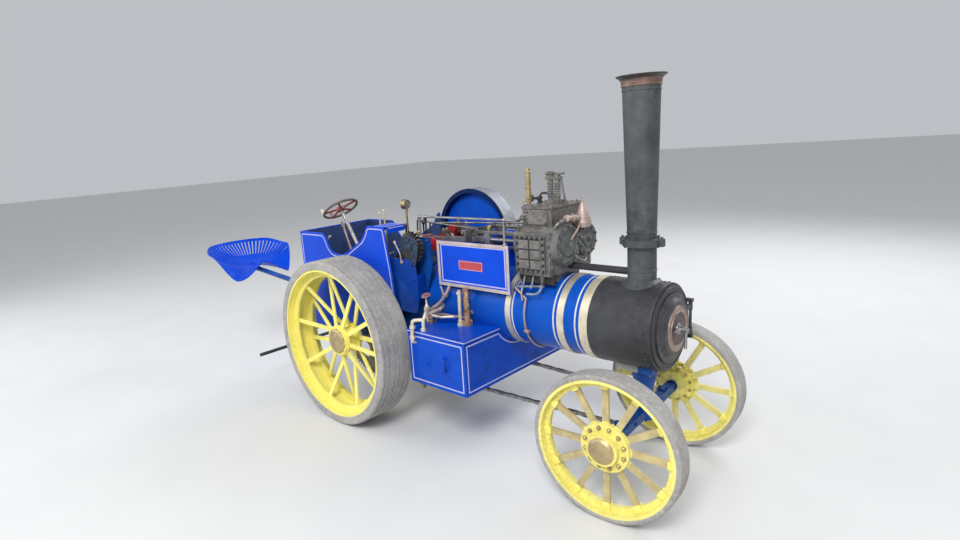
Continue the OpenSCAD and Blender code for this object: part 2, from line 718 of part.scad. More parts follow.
// Wheels, modelled at the right side and mirrored for the left
module rear_spoke_row(y_hub, y_rim, turn) {
    r_a = rear_hub_r - 16;
    r_b = rear_rim_r - rear_rim_t - 3;
    for (i = [0 : rear_spokes - 1]) rotate([0, i * 360 / rear_spokes + turn, 0])
        translate([0, (y_hub + y_rim) / 2, (r_a + r_b) / 2]) rotate([atan2(y_hub - y_rim, r_b - r_a), 0, 0])
            cube([rear_spoke_w, rear_spoke_t, norm([y_hub - y_rim, r_b - r_a])], center = true);
}
module rear_wheel() {
    r_in = rear_rim_r - rear_rim_t;
    half = rear_tyre_w / 2 - 3;
    hub_out = 26;
    hub_in = rear_hub_in;
    color("gold") translate([0, -rear_track_y, rear_r]) difference() {
        union() {
            turned_y() polygon([[r_in, -half], [rear_rim_r, -half], [rear_rim_r, half], [r_in, half]]);
            for (s = [-1, 1]) turned_y() translate([0, s * rear_web_y - 4]) polygon([
                [r_in - rear_web_h, 0], [r_in + 1, 0], [r_in + 1, 8], [r_in - rear_web_h, 8]]);
            y_rod(0, 0, -hub_out, hub_in, 44);
            y_rod(0, 0, 8 - hub_out, 18 - hub_out, rear_hub_r);
            y_rod(0, 0, hub_in - 30, hub_in - 20, rear_hub_r);
            y_rod(0, 0, -hub_out, 10 - hub_out, 58);
            // The rows cross: each runs from one end of the hub to the ring at the other side
            rear_spoke_row(hub_in - 26, -rear_web_y, 0);
            rear_spoke_row(-12, rear_web_y, 180 / rear_spokes);
        }
        y_rod(0, 0, -hub_out - 1, hub_in + 1, rear_axle_r + run);
    }
}
module rear_tyre() {
    half = rear_tyre_w / 2;
    color("dimgray") translate([0, -rear_track_y, rear_r]) turned_y() polygon([
        [rear_rim_r, -half], [rear_r - 5, -half], [rear_r, 6 - half],
        [rear_r, half - 6], [rear_r - 5, half], [rear_rim_r, half]
    ]);
}
module rear_cap() {
    y_a = rear_track_y + 26;
    color("peru") translate([0, -y_a, rear_r]) rotate([90, 0, 0]) rotate_extrude() polygon([
        [0, 0], [49, 0], [49, 5], [44, 9], [0, 12]
    ]);
}
module rear_wheel_right() rear_wheel();
module rear_tyre_right() rear_tyre();
module rear_cap_right() rear_cap();
module rear_wheel_left() mirror([0, 1, 0]) rear_wheel();
module rear_tyre_left() mirror([0, 1, 0]) rear_tyre();
module rear_cap_left() mirror([0, 1, 0]) rear_cap();

// The front axle and all on it, turned about the perch pin as the engine stands
module steered() {
    translate([wheelbase, 0, 0]) rotate([0, 0, steer_rest]) children();
}
axle_half_h = 14;
// Eyes behind the axle, which the steering chains end at
eye_back = 34;
eye_r = 9;
king_r = 9;
king_len = 44;
front_hub_in = 34;
module front_axle() {
    inner = front_track_y - front_hub_in - 1;
    color("royalblue") steered() union() {
        block(-14, 14, -inner, inner, front_r - axle_half_h, front_r + axle_half_h);
        y_rod(0, front_r, -front_track_y - 30, front_track_y + 30, front_axle_r);
        for (s = [-1, 1]) y_rod(0, front_r, s * (inner - 4) - 4, s * (inner - 4) + 4, 19);
        z_rod(0, 0, front_r - axle_half_h - 8, front_r + axle_half_h + 12, 26);
        z_rod(0, 0, front_r, front_r + axle_half_h + 12 + king_len, king_r);
        for (s = [-1, 1]) block(-eye_back, 0, s * chain_y - 5, s * chain_y + 5, eye_z - 5, eye_z + 5);
        for (s = [-1, 1]) z_rod(-eye_back, s * chain_y, eye_z - 7, eye_z + 7, eye_r);
    }
}
module front_wheel() {
    r_in = front_rim_r - front_rim_t;
    half = front_tyre_w / 2 - 2;
    color("gold") translate([0, -front_track_y, front_r]) difference() {
        union() {
            turned_y() polygon([
                [r_in, -half], [front_rim_r, -half], [front_rim_r, half], [r_in, half], [r_in, 7],
                [r_in - front_web_h, 7], [r_in - front_web_h, -7], [r_in, -7]
            ]);
            y_rod(0, 0, -34, front_hub_in, 45);
            y_rod(0, 0, -14, -5, front_hub_r);
            y_rod(0, 0, 5, 14, front_hub_r - 8);
            for (i = [0 : front_spokes - 1]) rotate([0, i * 360 / front_spokes, 0])
                translate([-front_spoke_w / 2, -front_spoke_t / 2, 40])
                    cube([front_spoke_w, front_spoke_t, r_in - 4 - 40]);
        }
        y_rod(0, 0, -35, front_hub_in + 1, front_axle_r + run);
    }
}
module front_tyre() {
    half = front_tyre_w / 2;
    color("dimgray") translate([0, -front_track_y, front_r]) turned_y() polygon([
        [front_rim_r, -half], [front_r - 4, -half], [front_r, 5 - half],
        [front_r, half - 5], [front_r - 4, half], [front_rim_r, half]
    ]);
}
module front_cap() {
    color("peru") translate([0, -front_track_y - 34, front_r]) rotate([90, 0, 0]) rotate_extrude() polygon([
        [0, 0], [37, 0], [37, 3], [30, 8], [14, 12], [0, 13]
    ]);
}
module front_wheel_right() steered() front_wheel();
module front_tyre_right() steered() front_tyre();
module front_cap_right() steered() front_cap();
module front_wheel_left() steered() mirror([0, 1, 0]) front_wheel();
module front_tyre_left() steered() mirror([0, 1, 0]) front_tyre();
module front_cap_left() steered() mirror([0, 1, 0]) front_cap();

module perch_bracket() {
    z_a = front_r + axle_half_h + 12 + seat_gap;
    color("royalblue") difference() {
        union() {
            translate([wheelbase, 0, z_a]) rotate_extrude() polygon([
                [0, 0], [34, 0], [34, 10], [24, 26], [28, 60],
                [50, boiler_z - 110 - z_a], [50, boiler_z - 90 - z_a], [0, boiler_z - 90 - z_a]
            ]);
            block(wheelbase - 62, wheelbase + 50, -56, 56, boiler_z - 138, boiler_z - 112);
        }
        x_rod(0, boiler_z, wheelbase - 120, wheelbase + 120, smokebox_r);
        z_rod(wheelbase, 0, z_a - 1, z_a + king_len + 1, king_r + run);
    }
}

// Tender with footwell, coal space and water tank
well_front = -30;
module tender_side(front_x) {
    polygon([
        [-tender_back, tender_z], [-tender_back, tender_top], [-228, tender_top], [-208, tender_top - 16],
        [-190, tender_top - 56], [-168, tender_top - 78], [-110, tender_top - 86], [-60, tender_top - 72],
        [-31, tender_top - 54], [5, tender_top - 35], [40, tender_top - 14], [60, tender_top + 8],
        [72, tender_front_top - 12], [84, tender_front_top], [front_x, tender_front_top], [front_x + 26, 600],
        [front_x + 40, 430], [front_x + 20, 330], [60, tender_z]
    ]);
}
module tender() {
    in_y = tender_y - sheet_t;
    color("royalblue") difference() {
        union() {
            side_plate(-tender_y, sheet_t) tender_side(182);
            side_plate(in_y, sheet_t) tender_side(92);
            block(-tender_back, sheet_t - tender_back, -in_y - 1, in_y + 1, tender_z, tender_top);
            block(tank_front - 1, well_front, -firebox_y, firebox_y, tender_z, tender_z + sheet_t);
            block(-tender_back, tank_front, -in_y - 1, in_y + 1, tender_z, tender_z + 190);
        }
        y_rod(0, rear_r, -tender_y - 1, tender_y + 1, rear_axle_r + 8);
    }
}

// Cover over the gears, from the right side sheet inwards
cover_back = 112;
cover_front = 200;
cover_in = 108;
module gear_cover() {
    y_a = sheet_t + seat_gap - tender_y;
    color("royalblue") union() {
        block(cover_back, cover_front, y_a, -cover_in, tender_front_top - 3, tender_front_top);
        block(cover_front - 3, cover_front, y_a, -cover_in, tender_front_top - 24, tender_front_top);
        block(cover_back, cover_back + 3, y_a, -cover_in, tender_front_top - 24, tender_front_top);
    }
}

// Towing eye below the back of the tender
pin_hole_r = 9;
drawbar_back = tender_back + 66;
module drawbar() {
    z = tender_z + 26;
    color("dimgray") difference() {
        union() {
            block(-tender_back - 8, -tender_back, -60, 60, z - 22, z + 30);
            block(-drawbar_back + 18, -tender_back - 8, -20, 20, z - 8, z + 8);
            z_rod(-drawbar_back + 18, 0, z - 8, z + 8, 20);
        }
        z_rod(-drawbar_back + 18, 0, z - 20, z + 20, pin_hole_r);
    }
}

// Board on brackets beside the motion
board_x = 405;
board_len = 323;
board_z = 566;
board_h = 162;
board_y = 138;
module nameboard() {
    color("royalblue") both_sides() union() {
        block(board_x, board_x + board_len, board_y, board_y + 5, board_z, board_z + board_h);
        for (x = [board_x + 40, board_x + board_len - 54]) difference() {
            block(x, x + 8, 70, board_y, board_z + 4, board_z + 22);
            x_rod(0, boiler_z, x - 1, x + 9, boiler_r + seat_gap);
        }
    }
}
rail_z = 811;
rail_y = board_y + 2;
rail_back = crank_x + 20;
module handrail() {
    x_b = board_x + board_len - 16;
    color("lightsteelblue") union() {
        x_rod(-rail_y, rail_z, rail_back - 6, cyl_back + 30, 4);
        z_rod(x_b, -rail_y, board_z + board_h, rail_z, 4);
        z_rod(rail_back, -rail_y, horn_top, rail_z, 4);
        rod([cyl_back + 28, -rail_y, rail_z], [cyl_back + 28, -block_reach, rail_z], 4);
    }
}
block_reach = -(block_y_a + 36);

// Saddle tank under the boiler, with a cover on each side
cradle_r = boiler_r + seat_gap;
module belly_tank() {
    color("royalblue") difference() {
        cross_plate(tank_back, tank_len) polygon([
            [-tank_y, tank_z], [tank_y, tank_z], [tank_y, tank_top], [-tank_y, tank_top]
        ]);
        x_rod(0, boiler_z, tank_back - 1, tank_back + tank_len + 1, cradle_r);
    }
}
module tank_covers() {
    lip = 4;
    color("royalblue") both_sides() difference() {
        block(tank_back - lip, tank_back + tank_len + lip, 60, tank_y + lip, tank_top, tank_top + cover_t);
        x_rod(0, boiler_z, tank_back - 10, tank_back + tank_len + 10, cradle_r);
    }
}

// Feed pump, clack and cocks on the right of the boiler
module feed_pipes() {
    top = tank_top + cover_t;
    x = tank_back + 158;
    back_x = tank_back + 22;
    y = -150;
    out_y = -196;
    rise = top + 36;
    color("tan") difference() {
        union() {
            z_rod(x, y, top, board_z - seat_gap, 11);
            z_rod(x, y, top, top + 16, 18);
            rod([x, y, top + 40], [x, y + 40, top + 40], 9);
            pipe([[back_x, out_y, top], [back_x, out_y, rise], [back_x, y, rise],
                [back_x, y + 40, rise + 20]], 8);
            pipe([[back_x, out_y, rise - 8], [x - 84, out_y, rise - 8], [x - 36, y - 10, rise - 8],
                [x - 4, y - 2, rise - 8]], 5);
        }
        x_rod(0, boiler_z, tank_back, tank_back + tank_len, boiler_r + seat_gap);
    }
}

module backhead_fittings() {
    x = firebox_back;
    color("peru") {
        x_rod(-70, 560, x - 8, x, 9);
        rod([x - 14, -70, 520], [x - 14, -70, 590], 5);
        for (z = [524, 586]) x_rod(-70, z, x - 14, x, 6);
        x_rod(60, 590, x - 12, x, 28);
        rod([x - 16, 0, 560], [x - 16, 46, 520], 5);
        x_rod(0, 560, x - 20, x, 14);
    }
}

// Pressure gauge on a tall pipe from the firebox's top
gauge_x = 60;
gauge_y = 34;
gauge_z = 831;
gauge_r = 19;
module pressure_gauge() {
    color("peru") difference() {
        union() {
            z_rod(gauge_x, gauge_y, boiler_z + 100, gauge_z, 4.5);
            z_rod(gauge_x, gauge_y, gauge_z - gauge_r - 14, gauge_z, 7);
            x_rod(gauge_y, gauge_z, gauge_x - 9, gauge_x + 9, gauge_r);
            x_rod(gauge_y, gauge_z, gauge_x - 12, gauge_x - 8, gauge_r + 2);
        }
        x_rod(0, boiler_z, gauge_x - 20, gauge_x + 20, firebox_r + seat_gap);
    }
}

// Steering: wheel on a sloping shaft with a worm, which turns the chain roller's worm wheel
worm_r = 9;
worm_gap = worm_wheel_r + worm_r;
dx_roller = roller_x + wheel_back;
dz_roller = wheel_z - roller_z;
column_slope = atan2(dz_roller, dx_roller) + asin(worm_gap / norm([dx_roller, dz_roller]));
worm_along = dx_roller * cos(column_slope) + dz_roller * sin(column_slope);
// Brings a shape that stands along the shaft's axis, zero at the steering wheel, to its place
module on_column() {
    translate([-wheel_back, -column_y, wheel_z]) rotate([0, 90 + column_slope, 0]) children();
}
shaft_r = 7;
roller_shaft_r = 9;
module steering_wheel() {
    color("brown") on_column() difference() {
        union() {
            rotate_extrude() translate([wheel_r, 0]) circle(r = 5);
            translate([0, 0, -8]) cylinder(h = 18, r = 14);
            for (a = [0 : 72 : 288]) rotate([0, 90, a]) cylinder(h = wheel_r, r = 4.5);
            translate([wheel_r, 0, -30]) cylinder(h = 30, r = 6);
        }
        translate([0, 0, -10]) cylinder(h = 22, r = shaft_r + run / 2);
    }
}
module steering_shaft() {
    color("lightsteelblue") on_column() union() {
        translate([0, 0, -9]) cylinder(h = worm_along + 45, r = shaft_r);
        translate([0, 0, worm_along - 22]) cylinder(h = 44, r = worm_r);
    }
}
module steering_bracket(d, y_from, y_to) {
    on_column() difference() {
        union() {
            translate([0, 0, d]) cylinder(h = 14, r = shaft_r + 6);
            translate([-6, y_from + column_y, d]) cube([12, y_to - y_from, 14]);
        }
        translate([0, 0, d - 1]) cylinder(h = 16, r = shaft_r + run);
    }
}
module steering_brackets() {
    color("dimgray") {
        steering_bracket(238, sheet_t - tender_y, -column_y - shaft_r);
        steering_bracket(worm_along - 118, shaft_r - column_y, -horn_out);
    }
}
module chain_roller() {
    color("dimgray") union() {
        y_rod(roller_x, roller_z, -column_y - 8, horn_out + 6, roller_shaft_r);
        for (s = [-1, 1]) y_rod(roller_x, roller_z, s * chain_y - 10, s * chain_y + 10, roller_r);
        y_rod(roller_x, roller_z, -column_y - 8, 8 - column_y, worm_wheel_r - 1);
    }
}

// Ladder chains from the roller to the eyes, the right one from under it and the left one from its top
chain_off = roller_r + chain_h / 2 + seat_gap;
function eye_x(side) = wheelbase - eye_back * cos(steer_rest) - side * chain_y * sin(steer_rest);
function chain_lean(side) = let (dx = eye_x(side) - roller_x, dz = eye_z - roller_z)
    atan2(dz, dx) - side * asin(chain_off / norm([dx, dz]));
module chain(length) {
    plate_t = 2.5;
    count = floor((length - 10) / chain_pitch);
    color("silver") {
        for (i = [0 : count - 1]) {
            x = -10 - (i + 0.5) * chain_pitch;
            inset = i % 2 == 0 ? 0 : plate_t;
            for (s = [-1, 1]) translate([x, s * (chain_w / 2 - plate_t / 2 - inset), 0])
                cube([chain_pitch + 8, plate_t, chain_h], center = true);
        }
        for (i = [0 : count]) y_rod(-10 - i * chain_pitch, 0, -chain_w / 2, chain_w / 2, 3, $fn = 12);
        block(-12, 0, -chain_w / 2 + plate_t, chain_w / 2 - plate_t, -3, 3);
    }
}
module chain_to_eye(side) {
    tip_x = eye_x(side) - eye_r - 2 * seat_gap;
    tip_z = eye_z - (eye_r + 2 * seat_gap) * sin(chain_lean(side));
    translate([tip_x, side * chain_y, tip_z]) rotate([0, -chain_lean(side), 0])
        chain(tip_x - roller_x + 30);
}
module chain_right() chain_to_eye(-1);
module chain_left() chain_to_eye(1);

// Pressed pan seat on a sprung arm
seat_t = 5;
function eased(table, a, i = 0) = a <= table[i + 1][0]
    ? let (t = (a - table[i][0]) / (table[i + 1][0] - table[i][0]))
        table[i][1] + (table[i + 1][1] - table[i][1]) * (1 - cos(180 * t)) / 2
    : eased(table, a, i + 1);
function pan_point(a, share, drop) = let (
    turn = a > 180 ? 360 - a : a,
    r = seat_r * eased(pan_reach, turn) * share)
    [-r * cos(a), r * sin(a), seat_t + eased(pan_rise, turn) * pow(share, 2.2) - drop];
module seat() {
    steps = 48;
    rings = 7;
    top = [for (j = [1 : rings], i = [0 : steps - 1]) pan_point(i * 360 / steps, j / rings, 0)];
    low = [for (j = [1 : rings], i = [0 : steps - 1]) pan_point(i * 360 / steps, j / rings, seat_t)];
    n = steps * rings;
    last = n - steps;
    function at(j, i) = j * steps + i % steps;
    color("royalblue") translate([-seat_back, -seat_y, seat_z]) polyhedron(
        points = concat(top, low, [[0, 0, seat_t], [0, 0, 0]]),
        faces = concat(
            [for (j = [0 : rings - 2], i = [0 : steps - 1]) [at(j, i + 1), at(j, i), at(j + 1, i)]],
            [for (j = [0 : rings - 2], i = [0 : steps - 1]) [at(j + 1, i + 1), at(j, i + 1), at(j + 1, i)]],
            [for (j = [0 : rings - 2], i = [0 : steps - 1])
                [n + at(j + 1, i), n + at(j, i), n + at(j, i + 1)]],
            [for (j = [0 : rings - 2], i = [0 : steps - 1])
                [n + at(j + 1, i), n + at(j, i + 1), n + at(j + 1, i + 1)]],
            [for (i = [0 : steps - 1]) [at(0, i + 1), 2 * n, at(0, i)]],
            [for (i = [0 : steps - 1]) [n + at(0, i), 2 * n + 1, n + at(0, i + 1)]],
            [for (i = [0 : steps - 1]) [at(rings - 1, i + 1), last + i, n + last + i]],
            [for (i = [0 : steps - 1]) [n + at(rings - 1, i + 1), at(rings - 1, i + 1), n + last + i]]
        )
    );
}
module seat_arm() {
    foot_z = 455;
    top_z = seat_z - 12 - seat_gap;
    color("midnightblue") translate([0, -seat_y, 0]) union() {
        pipe([[-tender_back - 4, 0, foot_z], [-seat_back + 60, 0, top_z], [-seat_back, 0, top_z]], 12);
        block(-tender_back - 8, -tender_back, -26, 26, foot_z - 30, foot_z + 26);
    }
}
module footrest() {
    color("dimgray") translate([0, -seat_y, 0]) difference() {
        union() {
            y_rod(-footrest_back, footrest_z, -footrest_half, footrest_half, 8);
            for (s = [-1, 1])
                rod([-footrest_back, s * 40, footrest_z], [-tender_back + 10, s * 40, tender_z + 28], 7);
        }
        block(-tender_back, 0, -200, 200, 0, 600);
    }
}

module placed() {
    translate([x0, 0, 0]) children();
}
placed() boiler_barrel();
placed() boiler_bands();
placed() firebox();
placed() backhead();
placed() ashpan();
placed() hornplates();
placed() smokebox();
placed() smokebox_door();
placed() door_handles();
placed() firehole_door();
placed() chimney_base();
placed() chimney_barrel();
placed() chimney_cap();
placed() cylinder_block();
placed() cylinder_covers();
placed() safety_valves();
placed() whistle();
placed() lubricator();
placed() exhaust_pipe();
placed() crankshaft();
placed() connecting_rods();
placed() slide_bars();
placed() valve_gear();
placed() crank_bearings();
placed() flywheel();
placed() gear_shafts();
placed() rear_axle();
placed() rear_wheel_right();
placed() rear_tyre_right();
placed() rear_cap_right();
placed() rear_wheel_left();
placed() rear_tyre_left();
placed() rear_cap_left();
placed() front_axle();
placed() front_wheel_right();
placed() front_tyre_right();
placed() front_cap_right();
placed() front_wheel_left();
placed() front_tyre_left();
placed() front_cap_left();
placed() perch_bracket();
placed() tender();
placed() gear_cover();
placed() drawbar();
placed() nameboard();
placed() handrail();
placed() belly_tank();
placed() tank_covers();
placed() feed_pipes();
placed() backhead_fittings();
placed() pressure_gauge();
placed() steering_brackets();
placed() steering_shaft();
placed() steering_wheel();
placed() chain_roller();
placed() chain_right();
placed() chain_left();
placed() seat();
placed() seat_arm();
placed() footrest();
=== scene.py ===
from math import asin, atan2, cos, degrees, hypot, pi, radians, sin

import bmesh
import bpy
from mathutils import Matrix, Vector


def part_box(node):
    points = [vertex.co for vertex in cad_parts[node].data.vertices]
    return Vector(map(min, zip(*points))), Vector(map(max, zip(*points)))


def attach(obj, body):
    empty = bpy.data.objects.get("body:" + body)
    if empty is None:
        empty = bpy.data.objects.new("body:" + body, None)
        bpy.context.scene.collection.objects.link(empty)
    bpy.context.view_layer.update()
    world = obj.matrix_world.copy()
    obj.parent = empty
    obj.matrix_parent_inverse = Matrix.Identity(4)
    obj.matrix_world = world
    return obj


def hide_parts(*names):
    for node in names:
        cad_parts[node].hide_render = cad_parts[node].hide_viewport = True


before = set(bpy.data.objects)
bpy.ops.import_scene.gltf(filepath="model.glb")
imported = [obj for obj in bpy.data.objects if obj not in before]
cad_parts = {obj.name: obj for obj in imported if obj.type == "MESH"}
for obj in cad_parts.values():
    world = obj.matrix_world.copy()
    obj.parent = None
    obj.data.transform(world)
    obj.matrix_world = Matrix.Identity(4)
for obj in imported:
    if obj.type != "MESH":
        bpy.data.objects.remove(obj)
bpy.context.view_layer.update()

# Sizes and places are in millimetres: x ahead of the rear axle, y to the engine's left, z above the ground
axle_low, axle_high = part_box("rear_axle")
X0 = (axle_low[0] + axle_high[0]) / 2 * 1000
WHEELBASE = 1115.0
STEER_REST = radians(3.3)
REAR_R, REAR_TYRE_W, REAR_TRACK, REAR_RIM_R = 330.0, 147.0, 311.5, 297.0
REAR_SPOKES, REAR_RIVET_R = 9, 276.0
REAR_PITCH = 360 / REAR_SPOKES
REAR_GROOVES, GROOVE_W, GROOVE_D = (0.1, 0.24, 0.43, 0.57, 0.76, 0.9), 4.6, 3.6
FRONT_R, FRONT_TYRE_W, FRONT_TRACK, FRONT_RIM_R, FRONT_SPOKES = 214.0, 64.0, 261.5, 200.0, 12
BOILER_Z, BOILER_R, SMOKEBOX_R, SMOKEBOX_FRONT = 495.0, 128.0, 131.0, 1187.0
DOOR_X = SMOKEBOX_FRONT + 9.3
CRANK_X, CRANK_Z, CRANK_THROW, FLYWHEEL_Y = 302.0, 700.0, 42.0, 198.0
CYL_BACK, CYL_FRONT, CYL_Z, CYL_TOP = 735.0, 880.0, 727.0, 850.0
LOW_Y, HIGH_Y, LOW_R, HIGH_R = -54.0, 62.0, 66.0, 54.0
CHEST_X, CHEST_Y, CHEST_Z = (749.0, 856.0), -130.0, (647.0, 761.0)
GUIDE_X, ECCENTRICS_Y = 510.0, (-8, 12)
CHIMNEY_X, CHIMNEY_JOINT = 1108.0, 742.0
TENDER_BACK, TENDER_Y, TENDER_Z, TENDER_TOP, TENDER_FRONT_TOP = 400.0, 200.0, 292.0, 731.0, 775.0
TENDER_FRONTS = ((-1, 182), (1, 92))
TANK_BACK, TANK_LEN, TANK_Y, TANK_Z, TANK_TOP, COVER_T = 378.0, 267.0, 293.0, 240.0, 425.0, 9.0
TANK_FRONT = TANK_BACK + TANK_LEN
BOARD_X, BOARD_LEN, BOARD_Z, BOARD_H, BOARD_Y = 405.0, 323.0, 566.0, 162.0, 143.0
PLATE_X, PLATE_Z, PLATE_T = (507, 615), (631, 664), 1.4
SEAT_BACK, SEAT_Y, SEAT_Z, SEAT_R, SEAT_T = 985.0, 150.0, 513.0, 218.0, 5.0
REAR_FACE, FRONT_FACE, COVER_FACE = REAR_TRACK + 26, FRONT_TRACK + 34, CYL_FRONT + 12
LINE_W, TENDER_LINE_W, EDGE_LINE_W, TENDER_RIVET, SMALL_RIVET = 4.4, 4.6, 3.6, 1.9, 1.8
GAUGE_Y, GAUGE_Z = 34, 831
LEVER_Y, COCK_FOOT, STAY_X, FIREBOX_Y = -100, 622, 40, 138
GUARD_OUT, GUARD_IN = -187, -184.5
RAIL_Y, RAIL_Z = -140, 811
PUMP_X, PUMP_Y, VALVE_X, VALVE_Y, UNION_X = 536, -150, 383, -196, 400
WHISTLE_X, WHISTLE_Y, VALVES_X, VALVES_Y = CYL_BACK - 8, -20, (806, 832), -9
SLOPE = radians(58.08)
STEER_WHEEL, STEER_WHEEL_R = Vector((-102, -181, 836)), 72
COLUMN_DOWN = Vector((cos(SLOPE), 0, -sin(SLOPE)))
UP, DOWN, AHEAD, BACK, LEFT, RIGHT = (0, 0, 1), (0, 0, -1), (1, 0, 0), (-1, 0, 0), (0, 1, 0), (0, -1, 0)


def P(x, y, z):
    """A place on the engine, in the scene's metres."""
    return Vector(((x + X0) / 1000, y / 1000, z / 1000))


def F(x, y, z):
    """A place on the front axle, x ahead of it, turned as the engine stands."""
    c, s = cos(STEER_REST), sin(STEER_REST)
    return P(WHEELBASE + x * c - y * s, x * s + y * c, z)


# Material helpers: colours are in thousandths
def feed(nt, socket, value):
    """Gives a node's input a number, a vector, a colour or another node's output."""
    if isinstance(value, bpy.types.NodeSocket):
        nt.links.new(value, socket)
    elif socket.type == "RGBA":
        socket.default_value = (*(c / 1000 for c in value), 1)
    else:
        socket.default_value = value


def node(nt, kind, inputs, operation=None):
    """A new shader node with its inputs; gives its outputs."""
    n = nt.nodes.new("ShaderNode" + kind)
    if operation:
        n.operation = operation
    if kind == "Mix":
        n.data_type = "RGBA"
    for key, value in inputs.items():
        feed(nt, n.inputs[key], value)
    return n.outputs


def material(name, recipe):
    """A material; its recipe gives the Principled shader's inputs by name."""
    m = bpy.data.materials.new(name)
    m.use_nodes = True
    nt = m.node_tree
    nt.nodes.clear()
    shader = node(nt, "BsdfPrincipled", recipe(nt))
    node(nt, "OutputMaterial", {0: shader[0]})
    return m


def object_coords(nt):
    return node(nt, "TexCoord", {})["Object"]


def noise(nt, scale, detail=4.0, rough=0.6):
    inputs = {"Scale": scale, "Detail": detail, "Roughness": rough, "Vector": object_coords(nt)}
    return node(nt, "TexNoise", inputs)["Fac"]


def level(nt, fac, a, b, out_a=0.0, out_b=1.0):
    inputs = {"Value": fac, "From Min": a, "From Max": b, "To Min": out_a, "To Max": out_b}
    return node(nt, "MapRange", inputs)[0]


def beyond(nt, place, edge, blur=0.5):
    """0 before an edge and 1 beyond it, in millimetres; a negative blur turns it about."""
    return level(nt, place, (edge - blur) / 1000, (edge + blur) / 1000)


def times(nt, a, b):
    return node(nt, "Math", {0: a, 1: b}, "MULTIPLY")[0]


def mix(nt, fac, a, b):
    return node(nt, "Mix", {0: fac, 6: a, 7: b})[2]


def bump(nt, height, strength=0.15, distance=0.0006):
    return node(nt, "Bump", {"Strength": strength, "Distance": distance, "Height": height})[0]


def axis_radius(nt, centre, axis):
    """Distance of each point from a line, in metres."""
    away = node(nt, "VectorMath", {0: object_coords(nt), 1: centre}, "SUBTRACT")[0]
    cross = node(nt, "VectorMath", {0: away, 1: Vector(axis).normalized()}, "CROSS_PRODUCT")[0]
    return node(nt, "VectorMath", {0: cross}, "LENGTH")["Value"]


def axis_place(nt, which):
    """Each point's X, Y or Z in the scene's metres."""
    return node(nt, "SeparateXYZ", {0: object_coords(nt)})[which]


def off_middle(nt):
    """Each point's distance from the engine's middle plane."""
    return node(nt, "Math", {0: axis_place(nt, "Y")}, "ABSOLUTE")[0]


def enamel_colour(nt, colour, dark, grime, grime_colour, scale):
    """Clouded colour with patches of grime, and the fine grain that it uses."""
    grain = noise(nt, scale * 5)
    base = mix(nt, level(nt, noise(nt, scale, 5.0), 0.3, 0.7), dark, colour)
    dirt = times(nt, level(nt, grain, 0.45, 0.75), level(nt, noise(nt, 3.2, 3.0, 0.5), 0.4, 0.66))
    return mix(nt, times(nt, dirt, grime), base, grime_colour), grain


def rough_grain(nt, grain, rough):
    return level(nt, grain, 0.25, 0.75, rough, rough + 0.2)


def brush_marks(nt):
    return bump(nt, noise(nt, 60, 3.0, 0.55), 0.12)


def enamel(name, paint, rough, coat, shine=0.5, sheen=(1000, 1000, 1000)):
    """Brushed enamel with clouded colour, patches of grime and a slightly wavy gloss."""
    def recipe(nt):
        base, grain = enamel_colour(nt, *paint)
        return {"Base Color": base, "Roughness": rough_grain(nt, grain, rough),
                "Specular IOR Level": shine, "Specular Tint": sheen,
                "Coat Weight": coat, "Coat Roughness": 0.12, "Normal": brush_marks(nt)}
    return material(name, recipe)


def metal(name, colour, dark, rough, tarnish, metallic=1.0):
    """Bare metal with clouded tarnish and fine scratches."""
    def recipe(nt):
        clouds, grain = noise(nt, 22, 6.0, 0.65), noise(nt, 88)
        return {"Base Color": mix(nt, times(nt, level(nt, clouds, 0.38, 0.66), tarnish), colour, dark),
                "Metallic": metallic, "Roughness": level(nt, grain, 0.2, 0.8, rough, rough + 0.28),
                "Normal": bump(nt, grain)}
    return material(name, recipe)


def two_zone(name, mask_of, first, second, metallic=0.0, rough=0.32, shine=0.3):
    """Two finishes on one casting: first where the mask is 0, second where it is 1."""
    def recipe(nt):
        mask = mask_of(nt)
        a, grain = enamel_colour(nt, *first)
        b = enamel_colour(nt, *second)[0]
        inputs = {"Base Color": mix(nt, mask, a, b), "Roughness": rough_grain(nt, grain, rough),
                  "Specular IOR Level": shine, "Normal": brush_marks(nt)}
        if metallic:
            inputs["Metallic"] = times(nt, mask, metallic)
        return inputs
    return material(name, recipe)


# Paints: colour, its darker clouds, share of grime, colour of the grime, scale of the clouds
BLUE_PAINT = ((2, 70, 680), (2, 52, 540), 0.3, (20, 40, 140), 10)
GRIMY_BLUE = ((5, 85, 400), (4, 40, 200), 0.8, (30, 28, 28), 20)
# Darker inner faces of the tender: the blue is painted shade, with grey grime over it.
INNER_SHADE_BLUE = ((35, 70, 200), (20, 35, 100), 0.8, (90, 85, 80), 16)
DISC_BLUE = ((2, 80, 560), (2, 60, 440), 0.4, (20, 40, 100), 12)
YELLOW_PAINT = ((930, 850, 230), (840, 750, 170), 0.35, (240, 190, 100), 14)
FRONT_YELLOW = ((920, 840, 250), (760, 680, 180), 0.6, (220, 170, 90), 18)
# Spoke tones painted as shade: the near front wheel's spokes darker than the far wheel's.
FAR_SPOKE_SHADE = ((840, 760, 300), (660, 580, 200), 0.5, (300, 240, 140), 30)
NEAR_SPOKE_SHADE = ((600, 500, 250), (400, 330, 170), 0.7, (160, 120, 80), 30)
WORN_RED = ((320, 70, 75), (170, 35, 36), 0.7, (200, 150, 130), 34)
WORN_GRIP = ((200, 165, 130), (90, 75, 60), 0.6, (300, 270, 240), 40)
RED_PAINT = ((460, 25, 30), (300, 15, 20), 0.6, (50, 30, 30), 20)
BARE_STEEL = ((360, 370, 370), (240, 240, 240), 0.6, (160, 150, 140), 24)
SOOTY_LIP = ((60, 46, 42), (28, 23, 22), 0.6, (120, 100, 90), 24)
BAND_COPPER = ((320, 210, 165), (140, 90, 70), 0.7, (90, 70, 60), 26)
OILY_BLACK = ((70, 65, 60), (30, 28, 26), 0.7, (160, 140, 120), 24)
BOILER_PAINT = ((4, 86, 500), (3, 64, 390), 0.5, (20, 40, 100), 9)
